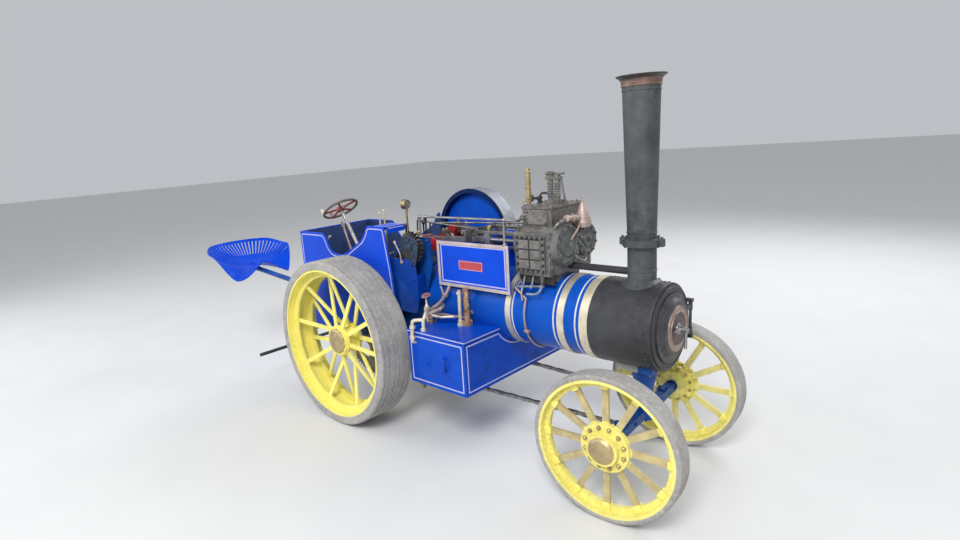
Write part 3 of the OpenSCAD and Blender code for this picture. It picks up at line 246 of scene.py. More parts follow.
TANK_PAINT = ((3, 72, 550), (2, 50, 400), 0.7, (12, 28, 100), 7)
GUARD_PAINT = ((2, 50, 340), (2, 28, 200), 0.7, (10, 12, 30), 12)
TEAL_PAINT = ((18, 55, 130), (6, 14, 40), 0.9, (100, 100, 95), 40)
BLACK_PAINT = ((43, 45, 52), (18, 18, 20), 0.5, (90, 88, 85), 7)
CHIMNEY_PAINT = ((68, 74, 83), (26, 28, 32), 0.6, (150, 145, 140), 11)
CAST_SKIN = ((235, 222, 205), (85, 80, 74), 0.9, (22, 19, 16), 24)
DARK_SKIN = ((30, 26, 23), (15, 13, 12), 0.6, (100, 90, 80), 26)
COVER_PAINT = ((140, 150, 146), (70, 77, 76), 0.7, (35, 30, 28), 22)
FADED_RED = ((360, 190, 190), (200, 100, 100), 0.6, (300, 250, 230), 40)
PALE_LILAC = ((500, 500, 780), (400, 400, 660), 0.3, (250, 250, 360), 30)
CREAM_PAINT = ((720, 700, 660), (560, 540, 500), 0.3, (300, 280, 250), 30)
PLATE_PAINT = ((500, 50, 60), (400, 35, 45), 0.3, (200, 80, 80), 30)
FACE_PAINT = ((800, 800, 780), (700, 700, 680), 0.2, (400, 400, 380), 20)
BLUE_SHEEN = (250, 500, 1000)

BLUE = enamel("enamel blue", BLUE_PAINT, 0.24, 0.07, 0.2, BLUE_SHEEN)
BOILER_BLUE = enamel("boiler blue", BOILER_PAINT, 0.26, 0.08, 0.25, BLUE_SHEEN)
TANK_BLUE = enamel("tank blue", TANK_PAINT, 0.26, 0.07, 0.2, BLUE_SHEEN)
DEEP_BLUE = enamel("deep blue", GUARD_PAINT, 0.34, 0.08, 0.3, BLUE_SHEEN)
BLUE_GRIMY = enamel("oily blue", GRIMY_BLUE, 0.34, 0.08, 0.25, BLUE_SHEEN)
TEAL = enamel("teal casting", TEAL_PAINT, 0.4, 0.1, 0.3)
YELLOW = enamel("enamel yellow", YELLOW_PAINT, 0.32, 0.25, 0.3)
BLACK = enamel("satin black", BLACK_PAINT, 0.38, 0.12, 0.45)
CHIMNEY = enamel("chimney black", CHIMNEY_PAINT, 0.46, 0.05)
CAST = enamel("oily casting", CAST_SKIN, 0.4, 0.15)
CAST_DARK = enamel("dark joint", DARK_SKIN, 0.5, 0.1)
COVER = enamel("teal grey cover", COVER_PAINT, 0.38, 0.15)
VALVE_WHEEL = enamel("faded red brown", FADED_RED, 0.42, 0.15)
LINING = enamel("pale lining", PALE_LILAC, 0.4, 0.2)
CREAM_LINING = enamel("cream lining", CREAM_PAINT, 0.4, 0.2)
PLATE_RED = enamel("plate red", PLATE_PAINT, 0.36, 0.3)
GLASS_WHITE = enamel("gauge face", FACE_PAINT, 0.2, 0.5)
BROWN = metal("heat browned copper", (320, 210, 165), (130, 85, 70), 0.36, 0.8, 0.6)
LUBRICATOR = metal("tarnished copper", (560, 440, 390), (260, 195, 175), 0.42, 0.8, 0.5)
DOOR_BRONZE = metal("door ring bronze", (400, 300, 250), (160, 110, 90), 0.36, 0.7, 0.8)
BAND_BRASS = metal("boiler band brass", (860, 780, 600), (480, 400, 280), 0.3, 0.6, 0.7)
BRASS = metal("brass", (800, 620, 280), (340, 250, 120), 0.24, 0.6)
FRAME_BRASS = metal("board frame brass", (640, 540, 480), (380, 320, 290), 0.4, 0.7, 0.45)
BRASS_DULL = metal("dull brass", (600, 480, 270), (240, 185, 105), 0.34, 0.6)
CREAM_PIPE = metal("pale brass pipe", (780, 700, 540), (420, 320, 220), 0.4, 0.7, 0.4)
GREY_PIPE = metal("blue grey pipe", (330, 350, 380), (140, 140, 150), 0.4, 0.7, 0.5)
PINK_PIPE = metal("dull copper pipe", (460, 360, 340), (240, 180, 160), 0.42, 0.6, 0.5)
COPPER = metal("copper pipe", (600, 360, 250), (260, 160, 120), 0.34, 0.7)
STEEL = metal("bright steel", (420, 420, 430), (200, 195, 195), 0.34, 0.75)
# The gears' metal is clouded nearly to black as painted shade, where they sit deep between the horn plate and
# the tender's side.
SHADED_GEAR_METAL = metal("gears darkened as shade", (170, 160, 155), (22, 20, 18), 0.3, 0.9, 0.8)
OILY_STEEL = metal("oily steel", (340, 330, 320), (90, 80, 75), 0.32, 0.8)


def rubber():
    """Grey rubber with worn, paler specks."""
    def recipe(nt):
        grain = noise(nt, 80, 5.0, 0.7)
        base = mix(nt, level(nt, noise(nt, 9, 6.0, 0.7), 0.32, 0.68), (250, 240, 225), (400, 385, 365))
        return {"Base Color": mix(nt, level(nt, grain, 0.5, 0.72), base, (480, 465, 445)), "Roughness": 0.8,
                "Normal": bump(nt, grain, 0.35, 0.0012)}
    return material("worn rubber", recipe)


def wheel_spokes(name, side, spokes):
    """Yellow rims and hubs; the spokes between them are painted duller as shade, the near wheel's darker than
    the far one's.
    """
    def mask(nt):
        r = axis_radius(nt, F(0, side * FRONT_TRACK, FRONT_R), F(0, 1, FRONT_R) - F(0, 0, FRONT_R))
        return times(nt, beyond(nt, r, 75), beyond(nt, r, 174, -0.5))
    return two_zone(name, mask, FRONT_YELLOW, spokes)


def flywheel_paint():
    """Blue disc, its lips painted near-black as shade, and a dull bare tread."""
    def recipe(nt):
        r = axis_radius(nt, P(CRANK_X, 0, CRANK_Z), LEFT)
        blue, grain = enamel_colour(nt, *DISC_BLUE)
        # The lips' near-black blue is painted shade, for the shadow under the rim's edge.
        lip = mix(nt, level(nt, grain, 0.3, 0.7), (2, 6, 30), (3, 20, 120))
        tread = beyond(nt, r, 181.4, 0.3)
        paint = mix(nt, beyond(nt, r, 163.45, 0.25), blue, lip)
        return {"Base Color": mix(nt, tread, paint, enamel_colour(nt, *BARE_STEEL)[0]),
                "Roughness": rough_grain(nt, grain, 0.36), "Metallic": times(nt, tread, 0.35),
                "Specular IOR Level": 0.25, "Specular Tint": BLUE_SHEEN}
    return material("flywheel paint and rim", recipe)


def feed_paint():
    """Pale brass behind, a mottled copper pump in front."""
    def recipe(nt):
        clouds, grain = noise(nt, 40, 5.0), noise(nt, 110)
        brass = mix(nt, level(nt, clouds, 0.35, 0.65), (420, 320, 220), (780, 700, 540))
        copper = mix(nt, level(nt, clouds, 0.4, 0.6), (200, 110, 60), (620, 420, 250))
        return {"Base Color": mix(nt, beyond(nt, axis_place(nt, "X"), 508.5 + X0, 3.5), brass, copper),
                "Roughness": level(nt, grain, 0.2, 0.8, 0.36, 0.6), "Metallic": 0.4,
                "Normal": bump(nt, grain)}
    return material("feed pipe brass and copper", recipe)


def door_paint():
    """Black door with a bronze ring and a darkened middle on its outer face."""
    def recipe(nt):
        r = axis_radius(nt, P(0, 0, BOILER_Z), AHEAD)
        clouds, grain = level(nt, noise(nt, 24, 5.0), 0.35, 0.65), noise(nt, 90)
        middle = mix(nt, clouds, (35, 18, 15), (100, 55, 40))
        bronze = mix(nt, clouds, (300, 210, 170), (520, 420, 360))
        black = mix(nt, clouds, (20, 21, 24), (50, 52, 58))
        front = beyond(nt, axis_place(nt, "X"), DOOR_X + X0 + 17.25, 0.25)
        ring = times(nt, times(nt, beyond(nt, r, 49), beyond(nt, r, 66, -0.5)), front)
        base = mix(nt, times(nt, beyond(nt, r, 49, -0.5), front), black, middle)
        return {"Base Color": mix(nt, ring, base, bronze), "Metallic": times(nt, ring, 0.75),
                "Roughness": level(nt, grain, 0.3, 0.7, 0.3, 0.5), "Normal": bump(nt, grain)}
    return material("door paint", recipe)


def crank_paint():
    """Red cranks between the bearings, oily shaft ends outside them."""
    def mask(nt):
        return beyond(nt, off_middle(nt), 100.5)
    return two_zone("crank paint and shaft", mask, RED_PAINT, OILY_BLACK, 0.5, 0.3)


def tender_paint():
    """Bright blue outside; the inner faces painted darker as shade and greyer with grime."""
    def mask(nt):
        inner = beyond(nt, off_middle(nt), 198.25, -0.25)
        return times(nt, inner, beyond(nt, axis_place(nt, "X"), X0 - 398.25, 0.25))
    return two_zone("tender paint", mask, BLUE_PAINT, INNER_SHADE_BLUE, shine=0.2)


def cap_paint():
    """A sooted lip over a band of browned copper."""
    def mask(nt):
        return beyond(nt, axis_place(nt, "Z"), 1195.5, -1)
    return two_zone("chimney cap paint", mask, SOOTY_LIP, BAND_COPPER, 0.55, 0.34, 0.5)


def perch_paint():
    """A bare grey saddle plate over the blue casting."""
    def mask(nt):
        above = beyond(nt, axis_place(nt, "Z"), 353.75, 0.25)
        return times(nt, above, beyond(nt, axis_place(nt, "X"), 1120 + X0, -1))
    return two_zone("perch paint", mask, GRIMY_BLUE, BARE_STEEL, 0.3)


def steering_paint():
    """Worn red spokes in a darker rim."""
    def mask(nt):
        return beyond(nt, axis_radius(nt, P(*STEER_WHEEL), -COLUMN_DOWN), 66.5)
    return two_zone("steering wheel paint", mask, WORN_RED, WORN_GRIP, 0.3)


RUBBER = rubber()
FINISHES = (
    (BOILER_BLUE, "boiler_barrel"), (BAND_BRASS, "boiler_bands"), (TANK_BLUE, "belly_tank tank_covers"),
    (BLUE_GRIMY, "firebox backhead hornplates front_axle seat_arm"), (BLUE, "gear_cover nameboard seat"),
    (BLACK, "ashpan smokebox firehole_door exhaust_pipe drawbar steering_brackets footrest"),
    (STEEL, "door_handles connecting_rods handrail"), (CHIMNEY, "chimney_base chimney_barrel"),
    (CAST, "cylinder_block safety_valves"), (COVER, "cylinder_covers"), (LUBRICATOR, "lubricator"),
    (BRASS_DULL, "whistle crank_bearings backhead_fittings pressure_gauge"),
    (BRASS_DULL, "rear_cap_right rear_cap_left front_cap_right front_cap_left"), (SHADED_GEAR_METAL, "gear_shafts"),
    (OILY_STEEL, "slide_bars valve_gear rear_axle steering_shaft chain_roller chain_right chain_left"),
    (YELLOW, "rear_wheel_right rear_wheel_left"), (crank_paint(), "crankshaft"),
    (flywheel_paint(), "flywheel"), (tender_paint(), "tender"), (cap_paint(), "chimney_cap"),
    (RUBBER, "rear_tyre_right rear_tyre_left front_tyre_right front_tyre_left"),
    (wheel_spokes("front wheel right paint", -1, NEAR_SPOKE_SHADE), "front_wheel_right"),
    (wheel_spokes("front wheel left paint", 1, FAR_SPOKE_SHADE), "front_wheel_left"),
    (door_paint(), "smokebox_door"), (perch_paint(), "perch_bracket"),
    (feed_paint(), "feed_pipes"), (steering_paint(), "steering_wheel"),
)
NODE_MATS = {name: mat for mat, names in FINISHES for name in names.split()}
for name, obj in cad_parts.items():
    obj.data.materials.clear()
    obj.data.materials.append(NODE_MATS[name])


# Shape helpers: each adds to a mesh in the making
def basis(axis):
    """An axis with two directions across it."""
    a = Vector(axis).normalized()
    u = a.orthogonal().normalized()
    return a, u, a.cross(u)


def sweep(start, end, steps):
    """Even turns from start to end, given in degrees, both ends included."""
    return [radians(start + (end - start) * i / steps) for i in range(steps + 1)]


def arc(r_mid, h_mid, radius, start, end, steps=6):
    """Points (radius, distance) round part of a circle, for a lathe's profile."""
    return [(r_mid + radius * sin(t), h_mid + radius * cos(t)) for t in sweep(start, end, steps)]


def skin(bm, rows, closed=False):
    """Faces between rows of vertices; a row of one vertex is a point."""
    for low, high in zip(rows, rows[1:] + rows[:1] if closed else rows[1:]):
        n = max(len(low), len(high))
        for i in range(n if n > 1 else 0):
            j = (i + 1) % n
            below = low[:1] if len(low) == 1 else [low[i], low[j]]
            above = high[:1] if len(high) == 1 else [high[j], high[i]]
            bm.faces.new(below + above)


def rod(bm, rows):
    """The faces of a shape with flat ends."""
    skin(bm, rows)
    bm.faces.new(list(reversed(rows[0])))
    bm.faces.new(rows[-1])


def lathe(bm, centre, axis, profile, n=16, closed=False, at=P):
    """Turns a profile of (radius, distance along the axis) about a line."""
    a, u, v = basis(axis)
    c = Vector(centre)
    turns = [2 * pi * i / n for i in range(n)]
    rows = []
    for r, h in profile:
        ways = [(u * cos(t) + v * sin(t)) * r for t in turns] if r > 1e-6 else [Vector()]
        rows.append([bm.verts.new(at(*(c + a * h + way))) for way in ways])
    skin(bm, rows, closed)


def bead(bm, centre, axis, inner, outer, height, slope=1, n=16, start=0):
    """A collar with sloping shoulders; its height is measured from the centre."""
    profile = [(inner, start), (outer, start + slope), (outer, height - slope), (inner, height)]
    lathe(bm, centre, axis, profile, n)


def rounded(points, radius, steps=5, closed=False):
    """A polyline with its corners rounded off."""
    pts = [Vector(p) for p in points]
    out = []
    for i, p in enumerate(pts):
        if not closed and i in (0, len(pts) - 1):
            out.append(p)
            continue
        a, b = pts[i - 1], pts[(i + 1) % len(pts)]
        d = min(radius, (a - p).length * 0.49, (b - p).length * 0.49)
        start, end = p + (a - p).normalized() * d, p + (b - p).normalized() * d
        for k in range(steps + 1):
            t = k / steps
            out.append(start * (1 - t) ** 2 + p * (2 * t * (1 - t)) + end * t ** 2)
    return out


def tube(bm, points, r, n=8):
    """A round tube along points, closed at both ends."""
    pts = [Vector(p) for p in points]
    ways = [(b - a).normalized() for a, b in zip(pts, pts[1:])]
    ways.append(ways[-1])
    across = ways[0].orthogonal().normalized()
    turns = [2 * pi * k / n for k in range(n)]
    rows = []
    for i, p in enumerate(pts):
        way = ways[i] if i == 0 else (ways[i - 1] + ways[i]).normalized()
        across = (across - way * across.dot(way)).normalized()
        other = way.cross(across)
        rows.append([bm.verts.new(P(*(p + (across * cos(t) + other * sin(t)) * r))) for t in turns])
    rod(bm, rows)


def pipe(bm, points, r, corner, steps=4, n=8):
    """A tube with rounded corners."""
    tube(bm, rounded(points, corner, steps), r, n)


def ribbon(bm, points, width, normal, closed=True):
    """A thin painted strip on a flat surface, along points and standing out along normal."""
    nrm = Vector(normal).normalized()
    pts = [Vector(p) for p in points]
    n = len(pts)
    section = ((-1, -0.3), (-1, 0.5), (1, 0.5), (1, -0.3))
    rows = []
    for i, p in enumerate(pts):
        before = (p - pts[i - 1]) if closed or i else (pts[1] - p)
        after = (pts[(i + 1) % n] - p) if closed or i < n - 1 else before
        a, b = before.normalized(), after.normalized()
        across = nrm.cross((a + b).normalized())
        half = width / 2 / max(0.35, across.dot(nrm.cross(a)))
        rows.append([bm.verts.new(P(*(p + across * s * half + nrm * h))) for s, h in section])
    if closed:
        skin(bm, rows, closed)
    else:
        rod(bm, rows)


def slab(bm, corner, opposite, at=P):
    """A straight-sided block between any two opposite corners; the piece's bevel rounds it."""
    (xa, xb), (ya, yb), (za, zb) = (sorted(pair) for pair in zip(corner, opposite))
    v = [bm.verts.new(at(x, y, z)) for z in (za, zb) for x, y in ((xa, ya), (xb, ya), (xb, yb), (xa, yb))]
    for f in ((0, 3, 2, 1), (4, 5, 6, 7), (0, 1, 5, 4), (1, 2, 6, 5), (2, 3, 7, 6), (3, 0, 4, 7)):
        bm.faces.new([v[i] for i in f])


def sheet(bm, outline, y_out, y_in):
    """A flat plate with an outline in x and z, between two places in y."""
    rod(bm, [[bm.verts.new(P(x, y, z)) for x, z in outline] for y in (y_out, y_in)])


def nut(bm, centre, axis, size, stud=True, at=P):
    """A washer, a six-sided nut and the end of its stud; size is across the flats."""
    h = size * 0.62
    lathe(bm, centre, axis, [(size * 0.68, -0.2), (size * 0.68, size * 0.12), (0, size * 0.12)], at=at)
    lathe(bm, centre, axis, [(size * 0.577, 0), (size * 0.577, h * 0.86), (size * 0.46, h), (0, h)], 6, at=at)
    if stud:
        end = [(size * 0.28, h * 0.9), (size * 0.28, h * 1.25), (size * 0.2, h * 1.4), (0, h * 1.4)]
        lathe(bm, centre, axis, end, 10, at=at)


def nuts(bm, spots, axis, size, stud=True, at=P):
    for spot in spots:
        nut(bm, spot, axis, size, stud, at)


def rivets(bm, spots, axis, r):
    for spot in spots:
        lathe(bm, spot, axis, [(r, -0.2), (r * 0.86, r * 0.4), (r * 0.5, r * 0.62), (0, r * 0.7)], 10)


def ring_of(centre, axis, radius, count, start=0.0):
    """Places round a circle."""
    a, u, v = basis(axis)
    turns = [start + 2 * pi * i / count for i in range(count)]
    return [Vector(centre) + (u * cos(t) + v * sin(t)) * radius for t in turns]


def row_of(a, b, count):
    """Places along a line, both ends included."""
    return [Vector(a).lerp(Vector(b), i / (count - 1)) for i in range(count)]


def inset(points, d):
    """A closed outline in a plane, given as pairs in turning order, moved inwards by d."""
    n = len(points)
    area = sum(points[i - 1][0] * points[i][1] - points[i][0] * points[i - 1][1] for i in range(n))
    turn = 1 if area > 0 else -1
    out = []
    for i in range(n):
        p = Vector(points[i])
        a = (p - Vector(points[i - 1])).normalized()
        b = (Vector(points[(i + 1) % n]) - p).normalized()
        na, nb = Vector((-a.y, a.x)) * turn, Vector((-b.y, b.x)) * turn
        mid = (na + nb).normalized()
        out.append(p + mid * d / max(0.4, mid.dot(na)))
    return out


def piece(mat, body="engine", bevel=0.0, sharp=32, end=""):
    """Turns the function below it, which fills a mesh, into one object of its name on a body."""
    def make(build):
        name = build.__name__ + end
        bm = bmesh.new()
        build(bm)
        bmesh.ops.recalc_face_normals(bm, faces=bm.faces)
        mesh = bpy.data.meshes.new(name)
        bm.to_mesh(mesh)
        bm.free()
        for p in mesh.polygons:
            p.use_smooth = True
        mesh.set_sharp_from_angle(angle=radians(sharp))
        o = bpy.data.objects.new(name, mesh)
        bpy.context.collection.objects.link(o)
        mesh.materials.append(mat)
        if bevel:
            mod = o.modifiers.new("edges", "BEVEL")
            mod.width = bevel / 1000
            mod.segments = 2
            mod.limit_method = "ANGLE"
            mod.angle_limit = radians(40)
        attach(o, body)
        return o
    return make


# Wheels: tyres with rounded shoulders, rivets, bolts and hub details
def tyre_profile(rim_r, out_r, width, shoulder, grooves):
    """A closed ring section: sidewalls with a rib, round shoulders and grooves across the tread."""
    half = width / 2
    rib = ((-0.3, 2), (1.5, 0.6), (4, 0.6), (5, 0), (6.5, 0), (7.5, 0.8))
    left = [(rim_r + r, -half + h) for r, h in rib]
    left += arc(out_r - shoulder, -half + shoulder + 0.3, shoulder, 180, 90)
    tread = []
    for f in grooves:
        low, high = -half + f * width - GROOVE_W / 2, -half + f * width + GROOVE_W / 2
        tread += [(out_r, low), (out_r - GROOVE_D, low + 1.2), (out_r - GROOVE_D, high - 1.2), (out_r, high)]
    return left + tread + [(r, -h) for r, h in reversed(left)]


for side, way in ((-1, "right"), (1, "left")):
    rear, front, face_way = "rear_wheel_" + way, "front_wheel_" + way, (0, side, 0)

    @piece(RUBBER, rear, end="_" + way)
    def rear_tyre_rubber(bm):
        profile = tyre_profile(REAR_RIM_R, REAR_R, REAR_TYRE_W, 9, REAR_GROOVES)
        lathe(bm, (0, side * REAR_TRACK, REAR_R), LEFT, profile, 128, closed=True)
    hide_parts("rear_tyre_" + way)

    @piece(RUBBER, front, end="_" + way)
    def front_tyre_rubber(bm):
        profile = tyre_profile(FRONT_RIM_R, FRONT_R, FRONT_TYRE_W, 6, ())
        lathe(bm, (0, side * FRONT_TRACK, FRONT_R), LEFT, profile, 112, closed=True, at=F)
    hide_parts("front_tyre_" + way)

    @piece(YELLOW, rear, end="_" + way)
    def rear_wheel_rivets(bm):
        """Two rivets for each spoke on both rings, one between spokes, and bolts on the hub's boss."""
        for lay, turn in ((1, 0), (-1, REAR_PITCH / 2)):
            for i in range(REAR_SPOKES):
                for lean, r in ((-1.35, 3.6), (1.35, 3.6), (REAR_PITCH / 2, 3.2)):
                    t = radians(i * REAR_PITCH + turn + lean)
                    x, z = REAR_RIVET_R * sin(t), REAR_R + REAR_RIVET_R * cos(t)
                    rivets(bm, [(x, side * (REAR_TRACK + lay * 38), z)], (0, side * lay, 0), r)
        boss = ring_of((0, side * REAR_FACE, REAR_R), LEFT, 53.4, 12, 0.26)
        nuts(bm, boss, face_way, 6.4, stud=False)

    @piece(BRASS_DULL, front, end="_" + way)
    def front_wheel_bolts(bm):
        """Bolts round the hub on both faces."""
        for lay, radius, size in ((1, 58.5, 10), (-1, 54, 8)):
            spots = ring_of((0, side * (FRONT_TRACK + lay * 14), FRONT_R), LEFT, radius, 12)
            nuts(bm, spots, (0, side * lay, 0), size, at=F)

    @piece(YELLOW, front, bevel=2.5, end="_" + way)
    def front_wheel_sockets(bm):
        """A cast socket on the rim for each spoke, on both faces of the web."""
        for i in range(FRONT_SPOKES):
            t = 2 * pi * i / FRONT_SPOKES

            def place(a, y, r):
                x, z = r * sin(t) + a * cos(t), r * cos(t) - a * sin(t)
                return F(x, side * FRONT_TRACK + y, FRONT_R + z)
            for lay in (-1, 1):
                slab(bm, (-11, lay * 4, 170), (11, lay * 12, 191.4), at=place)

    @piece(BRASS_DULL, front, end="_" + way)
    def front_hub_ring(bm):
        """Rings on the hub's cap, kept within it, and its round end."""
        face = side * FRONT_FACE
        lathe(bm, (0, face, FRONT_R), face_way, [(37.4, 0), (37.4, 1.2), (35.5, 3.4), (33, 3.6)], 48, at=F)
        lathe(bm, (0, face + side * 12.4, FRONT_R), face_way, [(11, -0.6), (11, 0.4), (0, 0.6)], 24, at=F)

    @piece(BRASS_DULL, rear, end="_" + way)
    def rear_hub_ring(bm):
        """A stepped ring with small rivets on the hub's cap."""
        face = side * REAR_FACE
        lathe(bm, (0, face, REAR_R), face_way, [(49.4, 0), (49.4, 3), (48, 5.6), (45, 6.4)], 56)
        rivets(bm, ring_of((0, face + side * 8.6, REAR_R), LEFT, 38, 6), face_way, 2.6)


@piece(BLUE, "flywheel")
def flywheel_hub_ring(bm):
    """A faced ring on both ends of the flywheel's hub, and its key."""
    for s in (-1, 1):
        ring = [(34, -0.3), (33, 1), (18, 1), (17, -0.3)]
        lathe(bm, (CRANK_X, FLYWHEEL_Y + s * 26, CRANK_Z), (0, s, 0), ring, 48)
        y = FLYWHEEL_Y + s * 26.4
        slab(bm, (CRANK_X - 3, y, CRANK_Z + 15), (CRANK_X + 3, y + s * 2, CRANK_Z + 22))


# Boards beside the motion: brass frame, fine line and a bare plate
def box_corners(x_a, x_b, z_a, z_b):
    """The four corners of an upright rectangle, as x and z."""
    return [(x_a, z_a), (x_b, z_a), (x_b, z_b), (x_a, z_b)]


@piece(FRAME_BRASS, bevel=0.8)
def nameboard_frame(bm):
    """Four brass strips on each board, with small rivets along the long ones."""
    wide, proud = 11, 2.4
    x_a, x_b, z_a, z_b = BOARD_X, BOARD_X + BOARD_LEN, BOARD_Z, BOARD_Z + BOARD_H
    strips = ((x_a, x_b, z_a, z_a + wide), (x_a, x_b, z_b - wide, z_b),
              (x_a, x_a + wide, z_a + wide, z_b - wide), (x_b - wide, x_b, z_a + wide, z_b - wide))
    for s in (-1, 1):
        y = s * (BOARD_Y + proud)
        for x_low, x_high, z_low, z_high in strips:
            slab(bm, (x_low, s * BOARD_Y, z_low), (x_high, y, z_high))
        for z in (z_a + 5, z_b - 5):
            rivets(bm, row_of((x_a + 4, y, z), (x_b - 4, y, z), 9), (0, s, 0), SMALL_RIVET)


@piece(LINING)
def nameboard_lining(bm):
    """A line round each board and a finer one round its plate."""
    outline = box_corners(BOARD_X + 19, BOARD_X + BOARD_LEN - 17, BOARD_Z + 18, BOARD_Z + BOARD_H - 13.5)
    for s in (-1, 1):
        ribbon(bm, [(x, s * BOARD_Y, z) for x, z in outline], LINE_W, (0, s, 0))
        plate = inset(box_corners(*PLATE_X, *PLATE_Z), 2.4)
        ribbon(bm, [(x, s * (BOARD_Y + PLATE_T), z) for x, z in plate], 1.6, (0, s, 0))


@piece(PLATE_RED, bevel=1.0)
def nameboard_plate(bm):
    for s in (-1, 1):
        slab(bm, (PLATE_X[0], s * BOARD_Y, PLATE_Z[0]), (PLATE_X[1], s * (BOARD_Y + PLATE_T), PLATE_Z[1]))


# Tender: lining, beading and rivets
def tender_outline(front_x):
    """The side sheet's corners, as x and z."""
    top, front_top = TENDER_TOP, TENDER_FRONT_TOP
    return [(-TENDER_BACK, TENDER_Z), (-TENDER_BACK, top), (-228, top), (-208, top - 16),
            (-190, top - 56), (-168, top - 78), (-110, top - 86), (-60, top - 72), (-31, top - 54),
            (5, top - 35), (40, top - 14), (60, top + 8), (72, front_top - 12), (84, front_top),
            (front_x, front_top), (front_x + 26, 600), (front_x + 40, 430), (front_x + 20, 330),
            (60, TENDER_Z)]


@piece(LINING)
def tender_lining(bm):
    for s, front_x in TENDER_FRONTS:
        line = [(x, s * TENDER_Y, z) for x, z in inset(tender_outline(front_x), 11)]
        ribbon(bm, rounded(line, 9, 3, closed=True), TENDER_LINE_W, (0, s, 0))
    back = inset(box_corners(-TENDER_Y, TENDER_Y, TENDER_Z, TENDER_TOP), 16)
    ribbon(bm, [(-TENDER_BACK, y, z) for y, z in back], TENDER_LINE_W, BACK)


@piece(BLUE)
def tender_beading(bm):
    """Half-round beading along the top edges."""
    inside, bead_z, bead_r = TENDER_Y - 2, TENDER_TOP - 1.6, 2.6
    for s, front_x in TENDER_FRONTS:
        pipe(bm, [(x, s * inside, z - 1.6) for x, z in tender_outline(front_x)[1:15]], bead_r, 14)
    tube(bm, [(2 - TENDER_BACK, -inside, bead_z), (2 - TENDER_BACK, inside, bead_z)], bead_r)


@piece(BLUE)
def tender_rivets(bm):
    """Rows along the floor, the back corners and the water tank's front plate."""
    rows = (((-385, 5), (50, 5), 20), ((-395, 20), (-395, TENDER_TOP - TENDER_Z - 12), 18),
            ((-200, 24), (-200, 186), 9), ((-380, 190), (-216, 190), 9))
    for s in (-1, 1):
        for (x_a, z_a), (x_b, z_b), count in rows:
            row = row_of((x_a, s * TENDER_Y, TENDER_Z + z_a), (x_b, s * TENDER_Y, TENDER_Z + z_b), count)
            rivets(bm, row, (0, s, 0), TENDER_RIVET)
    for z in (TENDER_Z + 6, TENDER_Z + 190):
        rivets(bm, row_of((-TENDER_BACK, -180, z), (-TENDER_BACK, 180, z), 19), BACK, TENDER_RIVET)


@piece(LINING)
def gear_cover_lining(bm):
    """A line across the cover's front and one round its top."""
    y_a, y_b, top = -189.5, -114, TENDER_FRONT_TOP
    ribbon(bm, [(200, y_a, 769), (200, y_b, 769)], 3.4, AHEAD, closed=False)
    ribbon(bm, [(118, y_a, top), (118, y_b, top), (194, y_b, top), (194, y_a, top)], 2.4, UP)


# Tank under the boiler: lining, seams, drop handle and plug
@piece(LINING)
def belly_tank_lining(bm):
    """Lines round the four faces and along the cover's edges; the ends' lines rise over the boiler."""
    cover_y, cover_z = TANK_Y + 4, TANK_TOP + COVER_T / 2
    for s in (-1, 1):
        face = inset(box_corners(TANK_BACK, TANK_FRONT, TANK_Z, TANK_TOP), 13)
        ribbon(bm, [(x, s * TANK_Y, z) for x, z in face], LINE_W, (0, s, 0))
        edge = [(TANK_BACK - 4, s * cover_y, cover_z), (TANK_FRONT + 4, s * cover_y, cover_z)]
        ribbon(bm, edge, EDGE_LINE_W, (0, s, 0), closed=False)
        for x, n in ((TANK_FRONT + 4, 1), (TANK_BACK - 4, -1)):
            ribbon(bm, [(x, s * 112, cover_z), (x, s * cover_y, cover_z)], EDGE_LINE_W, (n, 0, 0), closed=False)
    radius, y, low, high = BOILER_R + 14, TANK_Y - 13, TANK_Z + 13, TANK_TOP - 13
    rise = degrees(asin((BOILER_Z - high) / radius))
    turns = sweep(360 - rise, 180 + rise, 24)
    arch = [(radius * cos(t), BOILER_Z + radius * sin(t)) for t in turns]
    for x, n in ((TANK_FRONT, 1), (TANK_BACK, -1)):
        line = [(-y, high), (-y, low), (y, low), (y, high)] + arch
        ribbon(bm, [(x, across, z) for across, z in line], LINE_W, (n, 0, 0))


@piece(TANK_BLUE)
def belly_tank_seams(bm):
    """Angle-iron edges along the tank's corners, and rows of rivets."""
    top = TANK_TOP + COVER_T
    for s in (-1, 1):
        y = s * (TANK_Y - 1.2)
        for x in (TANK_BACK + 1.2, TANK_FRONT - 1.2):
            tube(bm, [(x, y, TANK_Z + 1), (x, y, TANK_TOP)], 2)
        tube(bm, [(TANK_BACK + 1, y, TANK_Z + 1.2), (TANK_FRONT - 1, y, TANK_Z + 1.2)], 2)
        low = row_of((TANK_BACK + 8, s * TANK_Y, TANK_Z + 5), (TANK_FRONT - 8, s * TANK_Y, TANK_Z + 5), 16)
        rivets(bm, low, (0, s, 0), SMALL_RIVET)
        rivets(bm, row_of((TANK_BACK + 5, s * 78, top), (TANK_BACK + 5, s * 286, top), 9), UP, SMALL_RIVET)


@piece(TANK_BLUE)
def belly_tank_handle(bm):
    """A round inspection plug and a bowed lifting handle, both painted over."""
    y, plug_x, plug_z, bow_x, bow_z, bow_r = -TANK_Y, 464, 321, 538, 336, 25
    plug = [(21, -0.3), (21, 1.5), (15, 4), (9, 4.6), (8.4, 8), (6, 9.4), (0, 9.6)]
    lathe(bm, (plug_x, y, plug_z), RIGHT, plug, 32)
    rivets(bm, ring_of((plug_x, y - 3.4, plug_z), LEFT, 15.5, 6, 0.3), RIGHT, SMALL_RIVET)
    bow = [(cos(t), sin(t)) for t in sweep(-64, 64, 14)]
    tube(bm, [(bow_x + bow_r * c, y - 3 - 9 * c, bow_z + bow_r * s) for c, s in bow], 3.4, 10)
    for z in (bow_z - 23, bow_z + 23):
        lathe(bm, (549, y, z), RIGHT, [(8, -0.3), (8, 1.6), (5, 3), (3.4, 8), (0, 8)], 20)


